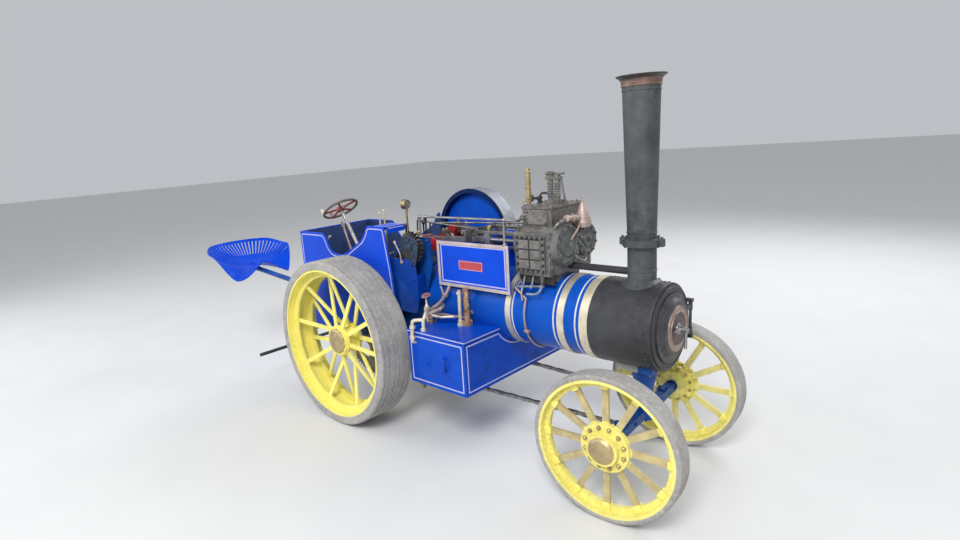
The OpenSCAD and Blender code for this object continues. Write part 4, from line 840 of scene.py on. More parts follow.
# Boiler: painted rings, clip pipe and drain rail
@piece(CREAM_LINING)
def boiler_lining(bm):
    low, high = BOILER_R - 0.3, BOILER_R + 0.5
    for x in (716, 876, 953):
        lathe(bm, (x, 0, BOILER_Z), AHEAD, [(low, 0), (high, 0), (high, 5), (low, 5)], 128)


def boiler_ring(x, radius, start, end, steps):
    """Points round the boiler; the angles are from straight ahead of its right side, upwards."""
    return [(x, -radius * cos(t), BOILER_Z + radius * sin(t)) for t in sweep(start, end, steps)]


@piece(PINK_PIPE)
def boiler_clip_pipe(bm):
    """A thin pipe down the boiler's right side from two cocks, and its fitting."""
    tube(bm, [(728, -121, 591)] + boiler_ring(772, BOILER_R + 5, 26, -78, 20), 3.8, 10)
    pipe(bm, [(762, -120, 593), (764, -134, 576), (771, -137, 552)], 3.2, 8)
    spot = boiler_ring(765, BOILER_R + 5, -22, -22, 1)[0]
    lathe(bm, spot, AHEAD, [(0, 0), (6, 0), (7, 5), (7, 13), (6, 18), (0, 18)])


@piece(GREY_PIPE)
def drain_cock_rail(bm):
    """Cock rod along the boiler's shoulder, with posts and the drain pipe that turns back under it."""
    a, b = Vector((722, -122, 590)), Vector((845, -122, 604))
    tube(bm, [a, b], 3.2)
    for f in (0.06, 0.34, 0.62, 0.94):
        p = a.lerp(b, f)
        tube(bm, [p, (p.x, p.y + 14, p.z + 34)], 2.8)
        lathe(bm, (p.x, p.y - 5, p.z), LEFT, [(0, 0), (6, 0), (6, 9), (0, 9)], 12)
    pipe(bm, [(838, -122, 604), (832, -130, 584), (816, -134, 577), (786, -134, 575)], 3.4, 12, 6)


# Smokebox, its door and the chimney
@piece(BLACK)
def smokebox_rivets(bm):
    for x, r, count in ((1171, 4.2, 28), (1011, 2.4, 40)):
        for spot in ring_of((x, 0, BOILER_Z), AHEAD, SMOKEBOX_R, count):
            rivets(bm, [spot], (0, spot.y, spot.z - BOILER_Z), r)


@piece(BLACK)
def smokebox_front_ring(bm):
    """Turned steps on the front ring, outside the door."""
    rings = ((0, [(131, -0.3), (130.4, 2.6), (128.5, 3.6), (122, 3.8)]),
             (9, [(121, -0.3), (119.5, 1.4), (117, 1.4), (115.5, -0.3)]),
             (9, [(110, -0.3), (109, 1.0), (107, 1.0), (106, -0.3)]))
    for ahead, profile in rings:
        lathe(bm, (SMOKEBOX_FRONT + ahead, 0, BOILER_Z), AHEAD, profile, 96)


@piece(DOOR_BRONZE, "smokebox_door")
def door_ring_beads(bm):
    """Beads round the bronze ring, on the dished door."""
    for r, x in ((49, 20.8), (66, 19.5)):
        profile = [(r - 2.2, -0.6), (r - 1.2, 1.3), (r + 1.2, 1.3), (r + 2.2, -0.8)]
        lathe(bm, (DOOR_X + x, 0, BOILER_Z), AHEAD, profile, 72)
    rivets(bm, ring_of((DOOR_X + 5, 0, BOILER_Z), AHEAD, 97, 16), AHEAD, 2.2)


@piece(STEEL, "smokebox_door")
def door_dart_ends(bm):
    """The nut on the door's spindle and the plate behind the handles."""
    lathe(bm, (DOOR_X + 45, 0, BOILER_Z), AHEAD, [(7.6, 0), (7.6, 2), (5, 4), (0, 4)], 6)
    lathe(bm, (DOOR_X + 20.8, 0, BOILER_Z), AHEAD, [(17, 0), (16, 2.2), (8, 2.8)], 40)


@piece(CHIMNEY)
def chimney_trim(bm):
    """Nuts on the foot and the middle joint, and turned beads up the barrel."""
    nuts(bm, ring_of((CHIMNEY_X, 0, 620), UP, 56, 8, 0.2), UP, 8)
    for z, way in ((CHIMNEY_JOINT + 10, UP), (CHIMNEY_JOINT - 10, DOWN)):
        nuts(bm, ring_of((CHIMNEY_X, 0, z), UP, 48.5, 8), way, 7)
    for z, r in ((656, 41.0), (768, 41.3), (1164, 51.6)):
        bead(bm, (CHIMNEY_X, 0, z), UP, r - 0.6, r + 1.8, 6, 1.6, 64)


@piece(CHIMNEY, bevel=2)
def chimney_joint_ears(bm):
    """A clamp's ears at both sides of the joint."""
    for s in (-1, 1):
        slab(bm, (CHIMNEY_X + s * 55, -9, 731), (CHIMNEY_X + s * 66, 9, 753))
        nut(bm, (CHIMNEY_X + s * 60.5, 0, 753), UP, 7)


@piece(BROWN)
def chimney_cap_beads(bm):
    for z, r in ((1177.4, 54), (1186, 54.2)):
        bead(bm, (CHIMNEY_X, 0, z), UP, r - 1, r + 1.2, 3.4, n=72)


# Cylinders: studded covers, the steam chest's cover plate, pipes and mountings
@piece(COVER)
def cylinder_front_flanges(bm):
    """Raised flanges and dished middles on both cylinder ends."""
    for y, r in ((LOW_Y, LOW_R), (HIGH_Y, HIGH_R)):
        centre = (COVER_FACE, y, CYL_Z)
        lathe(bm, centre, AHEAD, [(r - 0.6, -0.3), (r - 1.4, 2.6), (r - 17, 2.6), (r - 19, -0.3)], 72)
        lathe(bm, centre, AHEAD, [(r - 30, -0.3), (r - 31, 3.6), (r - 38, 4.4), (0, 4.4)], 48)


@piece(OILY_STEEL)
def cylinder_cover_nuts(bm):
    """Rings of nuts on the front and back covers, and one in the middle of each front."""
    for y, r, count in ((LOW_Y, LOW_R, 12), (HIGH_Y, HIGH_R, 10)):
        nuts(bm, ring_of((COVER_FACE + 2.4, y, CYL_Z), AHEAD, r - 9, count, 0.2), AHEAD, 9)
        nut(bm, (COVER_FACE + 4.2, y, CYL_Z), AHEAD, 13)
        nuts(bm, ring_of((CYL_BACK - 8, y, CYL_Z), AHEAD, r - 14, count), BACK, 7)


@piece(CAST, bevel=1.0)
def steam_chest_panels(bm):
    """Ribbed panels, two across and three high, inside a raised border."""
    y = CHEST_Y
    for x in (CHEST_X[0] + 12, CHEST_X[0] + 55):
        for k in range(3):
            z = CHEST_Z[0] + 11 + k * 32
            slab(bm, (x, y - 3.2, z), (x + 37, y + 0.2, z + 27))
            for rib in (4.5, 12, 19.5):
                slab(bm, (x + 3, y - 4.6, z + rib), (x + 34, y - 3, z + rib + 3))


@piece(CAST_DARK)
def steam_chest_nuts(bm):
    """Nuts all round the chest's border."""
    (xa, xb), (za, zb), y = CHEST_X, CHEST_Z, CHEST_Y
    for z in (za + 5, zb - 5):
        nuts(bm, row_of((xa + 6, y, z), (xb - 6, y, z), 6), RIGHT, 7)
    for x in (xa + 5.5, xb - 5.5):
        nuts(bm, row_of((x, y, za + 24), (x, y, zb - 24), 4), RIGHT, 7)


@piece(CAST_DARK)
def steam_chest_gaps_and_shade(bm):
    """Dark joint lines between the panels, and a dark slab below the chest that is painted shade."""
    (xa, xb), (za, zb), y = CHEST_X, CHEST_Z, CHEST_Y
    slab(bm, (xa + 49.4, y - 0.7, za + 9), (xa + 54.6, y + 0.1, zb - 9))
    # A dark slab below the chest, painted as its shade.
    slab(bm, (739, -105, 606), (872, -96, 640))
    for k in range(4):
        slab(bm, (xa + 10.5, y - 0.6, za + 7 + k * 32), (xb - 15, y + 0.1, za + 10.4 + k * 32))


@piece(CAST, bevel=1.4)
def cylinder_block_flanges(bm):
    """Flanged joints on the block's upper part, edges and foot."""
    for x, y, z in (((744, 859), (-87, 85), (CYL_TOP - 9, CYL_TOP - 1)), ((743, 860), (-88, 86), (776, 784)),
                    ((862, 871), (-122, 118), (638, 768)), ((738, 746), (-122, 118), (638, 768)),
                    ((760, 842), (-89, -84), (792, 838))):
        slab(bm, (x[0], y[0], z[0]), (x[1], y[1], z[1]))
    for z in (660, 690, 720, 748):
        slab(bm, (872, -118, z), (876, -112, z + 12))


@piece(OILY_STEEL)
def cylinder_block_nuts(bm):
    """Nuts along the block's joints."""
    top = CYL_TOP - 1
    for x in (752, 780, 808, 836, 852):
        nuts(bm, [(x, -80, top), (x, -84, 784)], UP, 7)
    nuts(bm, [(x, -89, z) for x in (766, 836) for z in (798, 832)], RIGHT, 7)
    nuts(bm, [(x, y, top) for x in (851, 752) for y in (-70, -44, 20, 46, 72)], UP, 7)
    for x, size in ((866.5, 7), (742, 6)):
        nuts(bm, [(x, -122, z) for z in (650, 680, 705, 730, 756)], RIGHT, size)


@piece(CAST)
def safety_valve_heads(bm):
    """Lever-loaded valve heads: caps, a lever, coiled springs and a drip pipe."""
    (x_a, x_b), y = VALVES_X, VALVES_Y
    lathe(bm, (x_a, y, 940), UP, [(11, -2), (14, 2), (17, 6), (17, 10), (8, 12), (0, 12)], 28)
    bead(bm, (x_a, y, 926), UP, 9, 15, 7, 2, 28)
    lathe(bm, (x_b, y, 928), UP, [(9.5, 0), (14, 2), (14, 5), (9, 8)], 28)
    tube(bm, [(796, y, 936), (833, y, 942), (858, y, 946)], 3.4)
    tube(bm, [(x_b, y, 936), (x_b, y, 948)], 5.2, 6)
    for x in VALVES_X:
        for k in range(6):
            bead(bm, (x, y, 872 + k * 8), UP, 9, 11.6, 4.8, 1.6, 20)
    slab(bm, (801, y - 4, 864), (837, y + 4, 880))
    pipe(bm, [(846, y, 926), (852, y, 896), (858, y, 864), (858, y, 850)], 4, 8)


@piece(CAST_DARK)
def stop_valve(bm):
    """Small wheel valve on the block's back edge."""
    body = [(11, 0), (11, 4), (7, 6), (7, 18), (10, 20), (10, 26), (5, 28), (0, 28)]
    lathe(bm, (764, -12, 846), UP, body, 20)
    tube(bm, [(764, -12, 866), (748, -24, 868)], 4.6, 10)
    lathe(bm, (748, -24, 868), (-0.8, -0.6, 0.1), [(0, 0), (11, 0), (12, 2), (12, 5), (10, 7), (0, 7)], 20)
    pipe(bm, [(764, -12, 870), (772, -12, 884), (790, -10, 884), (797, -9, 880)], 3.6, 7)


@piece(BRASS_DULL)
def whistle_trim(bm):
    """Rings up the whistle, three on its foot, and its lever."""
    x, y = WHISTLE_X, WHISTLE_Y
    for z, r in ((866, 11), (900, 10.4), (950, 10.4)):
        bead(bm, (x, y, z), UP, 9, r, 4.8, 1.4, 24, -0.4)
    for z in (838, 846, 854):
        bead(bm, (x, y, z), UP, 5.5, 9.5, 5, 1.6)
    pipe(bm, [(x, y, 858), (x - 14, y, 862), (x - 26, y, 852)], 2.6, 6, 3)


@piece(LUBRICATOR)
def lubricator_trim(bm):
    """Fins, a drip pipe, the cap's knob and the side branch of the cone-shaped lubricator."""
    x, y, z = CYL_FRONT + 7, HIGH_Y - 18, CYL_Z + HIGH_R - 10
    for rise, r in ((14, 27.8), (22, 26.0), (30, 24.2)):
        lathe(bm, (x, y, z + rise), UP, [(r - 2, -1), (r + 0.8, 0.2), (r + 0.4, 2), (r - 2.4, 3)], 40)
    lathe(bm, (x, y, z + 82), UP, [(5, 0), (5, 3), (2.4, 5), (2.4, 11), (0, 13)], 14)
    pipe(bm, [(x - 22, y - 8, z + 34), (x - 40, y - 14, z + 44), (x - 46, y - 30, z + 62)], 3.6, 9)
    branch = [(10, 0), (10, 40), (12.5, 41), (12.5, 49), (9, 50),
              (9, 74), (11.5, 75), (11.5, 82), (7, 84), (0, 84)]
    lathe(bm, (x, y - 14, z + 30), (0, -1, 0.1), branch, 24)
    pipe(bm, [(x + 6, y - 24, z + 14), (x + 12, y - 46, z + 2), (x + 10, y - 70, z - 18),
              (x + 8, y - 84, z - 30)], 3.4, 10)


@piece(OILY_STEEL)
def cylinder_pipes(bm):
    """Steam, drain and oil pipes about the cylinders."""
    pipe(bm, [(866, -96, 772), (884, -92, 800), (884, -40, 806), (872, -12, 800)], 5, 14, 5, 10)
    pipe(bm, [(742, -100, 770), (742, -104, 800), (752, -98, 822), (766, -86, 824)], 3.6, 10)
    pipe(bm, [(898, -26, 690), (908, -12, 672), (908, 16, 664), (900, 36, 672)], 4.2, 12, 5)
    pipe(bm, [(760, -132, 646), (760, -134, 628), (766, -128, 604)], 3.2, 6, 3)
    pipe(bm, [(846, -132, 646), (846, -134, 628), (842, -124, 606)], 3.2, 6, 3)


# Motion: bolts, oil cups, straps and guides
def crank_pin(turn):
    """Where a crank's pin stands, as x and z."""
    t = radians(turn)
    return CRANK_X + CRANK_THROW * cos(t), CRANK_Z + CRANK_THROW * sin(t)


LOW_PIN, HIGH_PIN = crank_pin(170), crank_pin(80)


def oil_cup(bm, x, y, z, size=1.0):
    cup = ((3, 0), (3, 5), (6.5, 7), (6.5, 17), (4.5, 19), (2, 20), (0, 22))
    lathe(bm, (x, y, z), UP, [(r * size, h * size) for r, h in cup])


@piece(OILY_STEEL)
def motion_bolts(bm):
    """Bolts of the big ends, the slide bars and the crankshaft's outer bearings."""
    for (px, pz), y in ((LOW_PIN, LOW_Y), (HIGH_PIN, HIGH_Y)):
        lean = atan2(CYL_Z - pz, GUIDE_X + 60 - px)
        for a, b in ((-12, 13), (-12, -13), (22, 13), (22, -13)):
            x = px + a * cos(lean) - b * sin(lean)
            z = pz + a * sin(lean) + b * cos(lean)
            for s in (-1, 1):
                nut(bm, (x, y + s * 11, z), (0, s, 0), 7, stud=False)
        for s in (-1, 1):
            nuts(bm, [(x, y, CYL_Z + s * 29) for x in (GUIDE_X + 8, CYL_BACK - 18)], (0, 0, s), 8)
        nuts(bm, [(GUIDE_X - 8, y + a, CYL_Z + 31) for a in (-14, 14)], BACK, 6)
    for s in (-1, 1):
        nuts(bm, [(CRANK_X + a, s * 145, CRANK_Z + 16) for a in (-20, 20)], (0, s, 0), 8)
        lathe(bm, (CRANK_X, s * 145, CRANK_Z), (0, s, 0), [(25, -0.3), (24, 2.2), (16, 2.2)], 32)


@piece(BRASS)
def motion_oil_cups(bm):
    """Cups on both crossheads, one big end, the low rod, the bearings and the eccentrics."""
    oil_cup(bm, 578, LOW_Y, CYL_Z + 29)
    oil_cup(bm, 578, HIGH_Y, CYL_Z + 29)
    oil_cup(bm, 328, HIGH_Y, HIGH_PIN[1] + 20)
    oil_cup(bm, 452, LOW_Y, CYL_Z + 8, 0.9)
    for y in (-135, 135):
        oil_cup(bm, CRANK_X, y, CRANK_Z + 34, 1.1)
    for y in ECCENTRICS_Y:
        oil_cup(bm, CRANK_X + 8, y, CRANK_Z + 31, 0.8)


@piece(OILY_STEEL, bevel=0.8)
def eccentric_strap_ears(bm):
    """Clamp ears and bolts on the two eccentric straps, and two ties across the guides."""
    x = CRANK_X + 8
    for y in ECCENTRICS_Y:
        for s in (-1, 1):
            slab(bm, (x - 7, y - 5, CRANK_Z - 11 + s * 36), (x + 7, y + 5, CRANK_Z - 3 + s * 44))
            nut(bm, (x + 7, y, CRANK_Z - 6 + s * 41), AHEAD, 6)
            nut(bm, (x - 7, y, CRANK_Z - 6 + s * 41), BACK, 6)
    for z_a, z_b in ((-26, -18), (2, 9)):
        slab(bm, (GUIDE_X - 46, -19, CYL_Z + z_a), (GUIDE_X - 24, 23, CYL_Z + z_b))


@piece(OILY_STEEL)
def regulator_rods(bm):
    """Long rods from the footplate to the cylinders, with their levers and joints."""
    tube(bm, [(196, 34, 758), (735, 34, 778)], 3.4)
    for x in (280, 440, 600):
        joint = [(0, -7), (5.4, -6), (5.4, 6), (0, 7)]
        lathe(bm, (x, 34, 761 + (x - 280) * 0.037), AHEAD, joint, 10)
    tube(bm, [(150, 8, 770), (480, -6, 752)], 2.8)
    tube(bm, [(150, 8, 770), (146, 8, 700), (150, 8, 622)], 3.4)
    tube(bm, [(196, 34, 758), (190, 34, 690), (190, 30, 622)], 3.4)
    tube(bm, [(480, -6, 752), (486, -4, 722), (488, 0, 690)], 3.2)


# Footplate: gauges, cocks, levers and the fittings on the firebox's top
def ring_wheel(bm, centre, axis, radius, rim, spokes):
    """A small handwheel: a round rim, spokes and a hub."""
    turns = [2 * pi * i / 10 for i in range(10)]
    lathe(bm, centre, axis, [(radius + rim * cos(t), rim * sin(t)) for t in turns], 28, closed=True)
    for spot in ring_of(centre, axis, radius, spokes):
        tube(bm, [Vector(centre), spot], rim * 0.8)
    hub = Vector(centre) - Vector(axis).normalized() * rim * 2
    lathe(bm, hub, axis, [(0, 0), (rim * 2.2, 0), (rim * 2.2, rim * 4), (0, rim * 4)], 12)


@piece(CREAM_PIPE)
def footplate_levers(bm):
    """Two pale levers that stand on the firebox's right shoulder, with bosses."""
    for x, top in ((46, 812), (74, 824)):
        lathe(bm, (x, LEVER_Y, 578), UP, [(11, 0), (11, 8), (7, 12), (0, 12)])
        tube(bm, [(x, LEVER_Y, 588), (x, LEVER_Y, top)], 3.4, 10)
        lathe(bm, (x, LEVER_Y, top - 9), UP, [(0, 0), (5, 2), (5.4, 8), (4, 12), (0, 13)], 12)


@piece(CAST_DARK)
def firebox_top_cocks(bm):
    """Dark cocks on the firebox's top, behind the crankshaft."""
    for x, y, top in ((171, 0, 790), (206, 0, 795), (150, 40, 772), (120, -30, 764)):
        h = top - COCK_FOOT
        stem = [(11, 0), (11, 8), (7, 12), (3.6, 14), (3.6, h - 24)]
        stem += [(6, h - 20), (6, h - 8), (4, h - 4), (0, h)]
        lathe(bm, (x, y, COCK_FOOT), UP, stem)
        tube(bm, [(x, y - 9, top - 12), (x, y + 9, top - 12)], 2.4)


@piece(STEEL)
def pressure_gauge_rim(bm):
    for x, way in ((48, BACK), (69, AHEAD)):
        lathe(bm, (x, GAUGE_Y, GAUGE_Z), way, [(19, -0.3), (18.4, 1.4), (15.6, 1.4), (15, 0.3)], 36)


@piece(GLASS_WHITE)
def pressure_gauge_dial(bm):
    lathe(bm, (48, GAUGE_Y, GAUGE_Z), BACK, [(15.2, 0.2), (0, 0.4)], 32)


@piece(CAST_DARK)
def pressure_gauge_needle(bm):
    tube(bm, [(47, GAUGE_Y, GAUGE_Z - 2), (47, GAUGE_Y - 8, GAUGE_Z + 10)], 0.9, 6)
    lathe(bm, (47.2, GAUGE_Y, GAUGE_Z), BACK, [(2.4, 0), (2.4, 1), (0, 1.2)], 12)


@piece(COPPER)
def backhead_pipes(bm):
    """Copper pipes that curl over the backhead to the cocks."""
    pipe(bm, [(28, -70, 592), (26, -66, 624), (40, -50, 640), (60, -30, 632)], 4, 14, 5, 10)
    pipe(bm, [(34, 60, 618), (30, 60, 640), (50, 46, 660), (60, 34, 650)], 3.2, 12, 5)
    pipe(bm, [(30, 20, 560), (24, 40, 540), (24, 96, 520), (28, 104, 430), (40, 104, 400)], 4.4, 16, 5, 10)
    pipe(bm, [(34, -100, 500), (22, -104, 470), (22, -104, 380), (38, -104, 350)], 4.4, 12, 5, 10)


@piece(BRASS)
def backhead_cocks(bm):
    """Gauge-glass cocks with their handles, a shut-off wheel and a round cover."""
    for z in (524, 586):
        lathe(bm, (26, -70, z), BACK, [(6.4, 0), (6.4, 6), (4, 8), (0, 8)], 6)
        tube(bm, [(20, -70, z), (12, -84, z - 10)], 2.2)
    ring_wheel(bm, (12, 0, 560), BACK, 15, 2.2, 5)
    lathe(bm, (28, 60, 590), BACK, [(28, 0), (27, 2), (23, 2.4), (22.4, 1.4), (0, 1.6)], 40)


@piece(BLUE_GRIMY)
def backhead_stays(bm):
    """Rows of stay heads on the back plate, clear of the door and the arch, and on the firebox's sides."""
    for y in range(-110, 111, 22):
        for z in range(300, 600, 24):
            at_door = abs(y) < 56 and 362 < z < 480
            outside = z > BOILER_Z and hypot(y, z - BOILER_Z) > 108
            if not (at_door or outside):
                rivets(bm, [(STAY_X, y, z)], BACK, 3)
    for s in (-1, 1):
        side_rows = [(x, s * FIREBOX_Y, z) for x in (220, 244, 268) for z in range(300, 460, 26)]
        rivets(bm, side_rows, (0, s, 0), 2.6)


# Guard over the lower gears, levers in the tender and the steering wheel's grip
@piece(DEEP_BLUE)
def gear_guard(bm):
    """A sheet outside the gears, with its front edge turned in to the horn plate."""
    corners = [(165, 0, 655), (302, 0, 655), (330, 0, 632), (332, 0, 500), (318, 0, 452), (165, 0, 452)]
    sheet(bm, [(p.x, p.z) for p in rounded(corners, 16, 4, True)], GUARD_OUT, GUARD_IN)
    slab(bm, (328.6, GUARD_IN, 505), (331.6, -139, 600))


@piece(TEAL, bevel=0.6)
def gear_splash_plate(bm):
    """A round-topped plate before the upper gear, on a strap up from the guard."""
    x, z, y = CRANK_X + 12, CRANK_Z + 6, -192
    dome = [(x + 41 * cos(t), z + 38 * sin(t)) for t in sweep(0, 180, 12)]
    foot = ((-18, -2), (14, -12), (6, -50), (30, -66), (44, -30))
    sheet(bm, dome + [(CRANK_X + a, CRANK_Z + b) for a, b in foot], y, -188)
    tube(bm, [(a, y, b) for a, b in dome], 2.4)
    slab(bm, (CRANK_X + 8, -189, CRANK_Z - 62), (CRANK_X + 28, -186, CRANK_Z - 48))
    nuts(bm, [(x + 29 * cos(t), y, z + 27 * sin(t)) for t in sweep(35, 145, 2)], RIGHT, 8)
    nuts(bm, [(CRANK_X + 22, y, CRANK_Z + b) for b in (-30, -52)], RIGHT, 7)
    lathe(bm, (x, y, z), RIGHT, [(12, -0.3), (12, 4), (9, 6), (0, 6.4)], 24)


@piece(PINK_PIPE)
def gear_lever(bm):
    """A hand lever beside the gears, pivoted on the guard."""
    pipe(bm, [(258, -190, 644), (260, -194, 676), (239, -197, 716)], 2.8, 12, n=10)
    lathe(bm, (240, -197, 713), (-0.44, 0, 0.9), [(0, 0), (4, 1), (5, 7), (3.4, 12), (0, 13)], 14)
    lathe(bm, (258, -186, 644), RIGHT, [(7, -0.3), (7, 4), (4, 7), (0, 7.4)], 18)


@piece(DEEP_BLUE)
def gear_guard_trim(bm):
    """The guard's rolled rim and its bolts."""
    edge = ((170, 655), (300, 655), (330, 631), (332, 502), (318, 454))
    pipe(bm, [(x, GUARD_OUT + 1, z) for x, z in edge], 2.2, 14)
    bolts = ((312, 636), (322, 520), (318, 580), (200, 646), (250, 646))
    nuts(bm, [(x, GUARD_OUT, z) for x, z in bolts], RIGHT, 7, stud=False)


@piece(PINK_PIPE)
def tender_brake_lever(bm):
    """Brake lever on the footplate, its grip and its foot."""
    tube(bm, [(-184, -120, 762), (-146, -120, 662), (-50, -120, 300)], 4.2, 10)
    lathe(bm, (-188, -120, 772), (0.38, 0, -0.92), [(0, 0), (6, 3), (6.4, 24), (4.4, 30), (0, 30)], 14)
    slab(bm, (-66, -131, 295.8), (-36, -109, 304))


@piece(STEEL)
def tender_latch(bm):
    """A ball-ended latch at the tender's cut-out."""
    pipe(bm, [(-216, -194, 700), (-204, -190, 702), (-200, -184, 712)], 3, 5)
    lathe(bm, (-200, -181, 714), UP, arc(0, 0, 7, 180, 0, 10), 18)


def on_wheel(turn, radius, along):
    """A place on the steering wheel: angle round it, distance from its shaft, distance down the shaft."""
    t = radians(turn)
    out = Vector((-sin(SLOPE), 0, -cos(SLOPE))) * cos(t) + Vector(LEFT) * sin(t)
    return STEER_WHEEL + out * radius + COLUMN_DOWN * along


@piece(CREAM_PIPE, "steering_wheel")
def steering_wheel_grip(bm):
    """Pale turned grip and a stud on the rim, and a nut at the middle."""
    grip = [(0, 0), (5, 0), (4, 4), (6.4, 14), (6, 22), (3, 26), (0, 27)]
    lathe(bm, on_wheel(302, STEER_WHEEL_R, -3), -COLUMN_DOWN, grip)
    lathe(bm, on_wheel(0, STEER_WHEEL_R, -30.2), -COLUMN_DOWN, [(6, -1), (6, 1), (4, 2.6), (0, 3)])
    lathe(bm, on_wheel(0, 0, -8.2), -COLUMN_DOWN, [(8, 0), (8, 5), (4, 7), (0, 7)], 6)


@piece(VALVE_WHEEL, "steering_wheel")
def steering_wheel_collars(bm):
    """A collar at the root of each of the five spokes."""
    for turn in range(0, 360, 72):
        out = on_wheel(turn, 1, 0) - on_wheel(0, 0, 0)
        lathe(bm, on_wheel(turn, 12, 0), out, [(6.6, 0), (6.6, 5), (4.6, 8)], 14)


# Feed valve group on the tank: shut-off wheel, looped pipe, brace and unions
@piece(VALVE_WHEEL)
def feed_wheel(bm):
    ring_wheel(bm, (VALVE_X, VALVE_Y, 533), (0, -0.3, 1), 14.5, 3.2, 4)


@piece(CREAM_PIPE, sharp=40)
def feed_loop(bm):
    """The pale looped pipe with its two legs, union nuts and valve body."""
    y_in, y_out = -284, -306
    pipe(bm, [(450, y_in, 433), (454, y_in, 476), (421, y_out, 474), (414, y_out, 408), (414, y_out, 396),
              (414, -290, 390)], 6.2, 11, 6, 14)
    for x, y, z in ((450.6, y_in, 433), (418.5, y_out, 443), (415, y_out, 405)):
        bead(bm, (x, y, z), UP, 6, 10, 13, n=6)
    pipe(bm, [(452, y_in, 470), (448, -266, 492), (410, -218, 494), (VALVE_X, VALVE_Y, 486)], 6, 14, 5, 12)
    valve = [(0, 0), (8, 2), (11, 9), (11, 20), (7, 27), (5, 34), (3.4, 36), (3.4, 69), (0, 69)]
    lathe(bm, (VALVE_X, VALVE_Y, 466), UP, valve, 20)
    tube(bm, [(VALVE_X, VALVE_Y, 470), (VALVE_X, VALVE_Y, 434)], 5, 10)
    tube(bm, [(519, -168, 434), (522, -168, 563)], 6, 12)
    for z, r in ((434, 12), (446, 8.4), (548, 8.4)):
        lathe(bm, (520, -168, z), UP, [(0, 0), (r, 0.6), (r, 8), (0, 9)], 18)


@piece(PINK_PIPE, sharp=40)
def feed_brace(bm):
    """A bent bracket up to the board, and small pipes along the tank's top."""
    pipe(bm, [(452, -140, 565), (446, -150, 540), (410, -152, 500), (372, -168, 470), (352, -170, 452),
              (340, -160, 440)], 6.4, 16, 5, 10)
    pipe(bm, [(404, -176, 434), (406, -174, 462), (440, -172, 466), (519, -168, 466)], 3.2, 8)
    pipe(bm, [(430, -150, 520), (414, -140, 540), (400, -134, 556)], 4, 8)
    for spot in ((372, -168, 470), (436, -151, 530)):
        lathe(bm, spot, (0.8, 0, 0.6), [(0, -7), (9, -6), (9, 6), (0, 7)], 6)


@piece(COPPER)
def feed_unions(bm):
    """Union nuts, a flange and studs on the pump and beside it."""
    for z, r in ((474, 15), (520, 14), (556, 14)):
        bead(bm, (PUMP_X, PUMP_Y, z), UP, 11, r, 10, n=6)
    nuts(bm, ring_of((PUMP_X, PUMP_Y, 450), UP, 14.6, 4, 0.4), UP, 6)
    lathe(bm, (UNION_X, VALVE_Y, 434), UP, [(14, 0), (14, 5), (9, 6)], 20)
    for z in (446, 458):
        bead(bm, (UNION_X, VALVE_Y, z), UP, 8, 11, 6.6, 0.6, 6)


# Handrail joints, bracket bolts, axle and towing details
@piece(STEEL)
def handrail_joints(bm):
    """Ball-shaped stanchion heads on the handrail, and the stanchions' feet."""
    for x, foot in ((CRANK_X + 20, CRANK_Z + 34), (712, BOARD_Z + BOARD_H)):
        lathe(bm, (x, RAIL_Y, RAIL_Z), AHEAD, arc(0, 0, 6.6, 180, 0, 8))
        lathe(bm, (x, RAIL_Y, foot), UP, [(8, 0), (8, 3), (5, 7), (4, 7)])


@piece(OILY_STEEL)
def bracket_bolts(bm):
    """Bolts on the perch bracket, the seat arm's foot, the towing plate and the firebox foot ring."""
    nuts(bm, [(x, y, BOILER_Z - 138) for x in (1064, 1154) for y in (-46, 46)], DOWN, 9)
    nuts(bm, [(-408, y, z) for y in (-168, -132) for z in (432, 472)], BACK, 9)
    nuts(bm, [(-408, y, z) for y in (-48, 48) for z in (302, 342)], BACK, 9)
    for s in (-1, 1):
        nuts(bm, [(x, s * FIREBOX_Y, 724) for x in (248, 300, 352)], (0, s, 0), 8)
        nuts(bm, [(x, s * FIREBOX_Y, 310) for x in (80, 120, 160, 200)], (0, s, 0), 8)


@piece(BLUE_GRIMY, "front_axle", bevel=0.8)
def front_axle_details(bm):
    """Caps, keys and grease plugs on the front axle's beam."""
    for s in (-1, 1):
        slab(bm, (-17, s * 150 - 14, 228), (17, s * 150 + 14, 233), at=F)
        nuts(bm, [(x, s * 150, 233) for x in (-11, 11)], UP, 8, at=F)
        lathe(bm, (14, s * 100, FRONT_R), AHEAD, [(6, 0), (6, 3), (3, 5), (0, 5)], 14, at=F)
    round_pin = ring_of((0, 0, 192), UP, 20, 6, 0.3)
    nuts(bm, [spot for spot in round_pin if abs(spot.x) > 4], DOWN, 6, at=F)


@piece(OILY_STEEL)
def towing_details(bm):
    """The towing pin's collar and its keeper ring under the tender."""
    tube(bm, [(-414, 40 + 9 * sin(t), 322 + 9 * cos(t)) for t in sweep(0, 360, 20)], 2)
    lathe(bm, (-448, 0, 326), UP, [(11, -0.2), (11, 2), (15, 2), (16, -0.2)], 24)


# Seat: the same pressed pan with slots round its back and a rolled edge
PAN_REACH = ((0, 0.88), (45, 0.97), (90, 1.0), (127, 0.84), (180, 0.62))
PAN_RISE = ((0, 116), (45, 114), (90, 86), (127, -48), (180, 28))
PAN_RINGS = (0.16, 0.3, 0.42, 0.52, 0.6, 0.68, 0.76, 0.84, 0.9, 0.95, 0.985)
PAN_STEPS, SLOT_IN, SLOT_OUT, SLOT_REACH = 180, 4, 9, 99


def eased(table, a):
    """Reads a value from a table of angles, with smooth steps between."""
    for (a0, v0), (a1, v1) in zip(table, table[1:]):
        if a <= a1:
            t = (a - a0) / (a1 - a0)
            return v0 + (v1 - v0) * (1 - cos(pi * t)) / 2


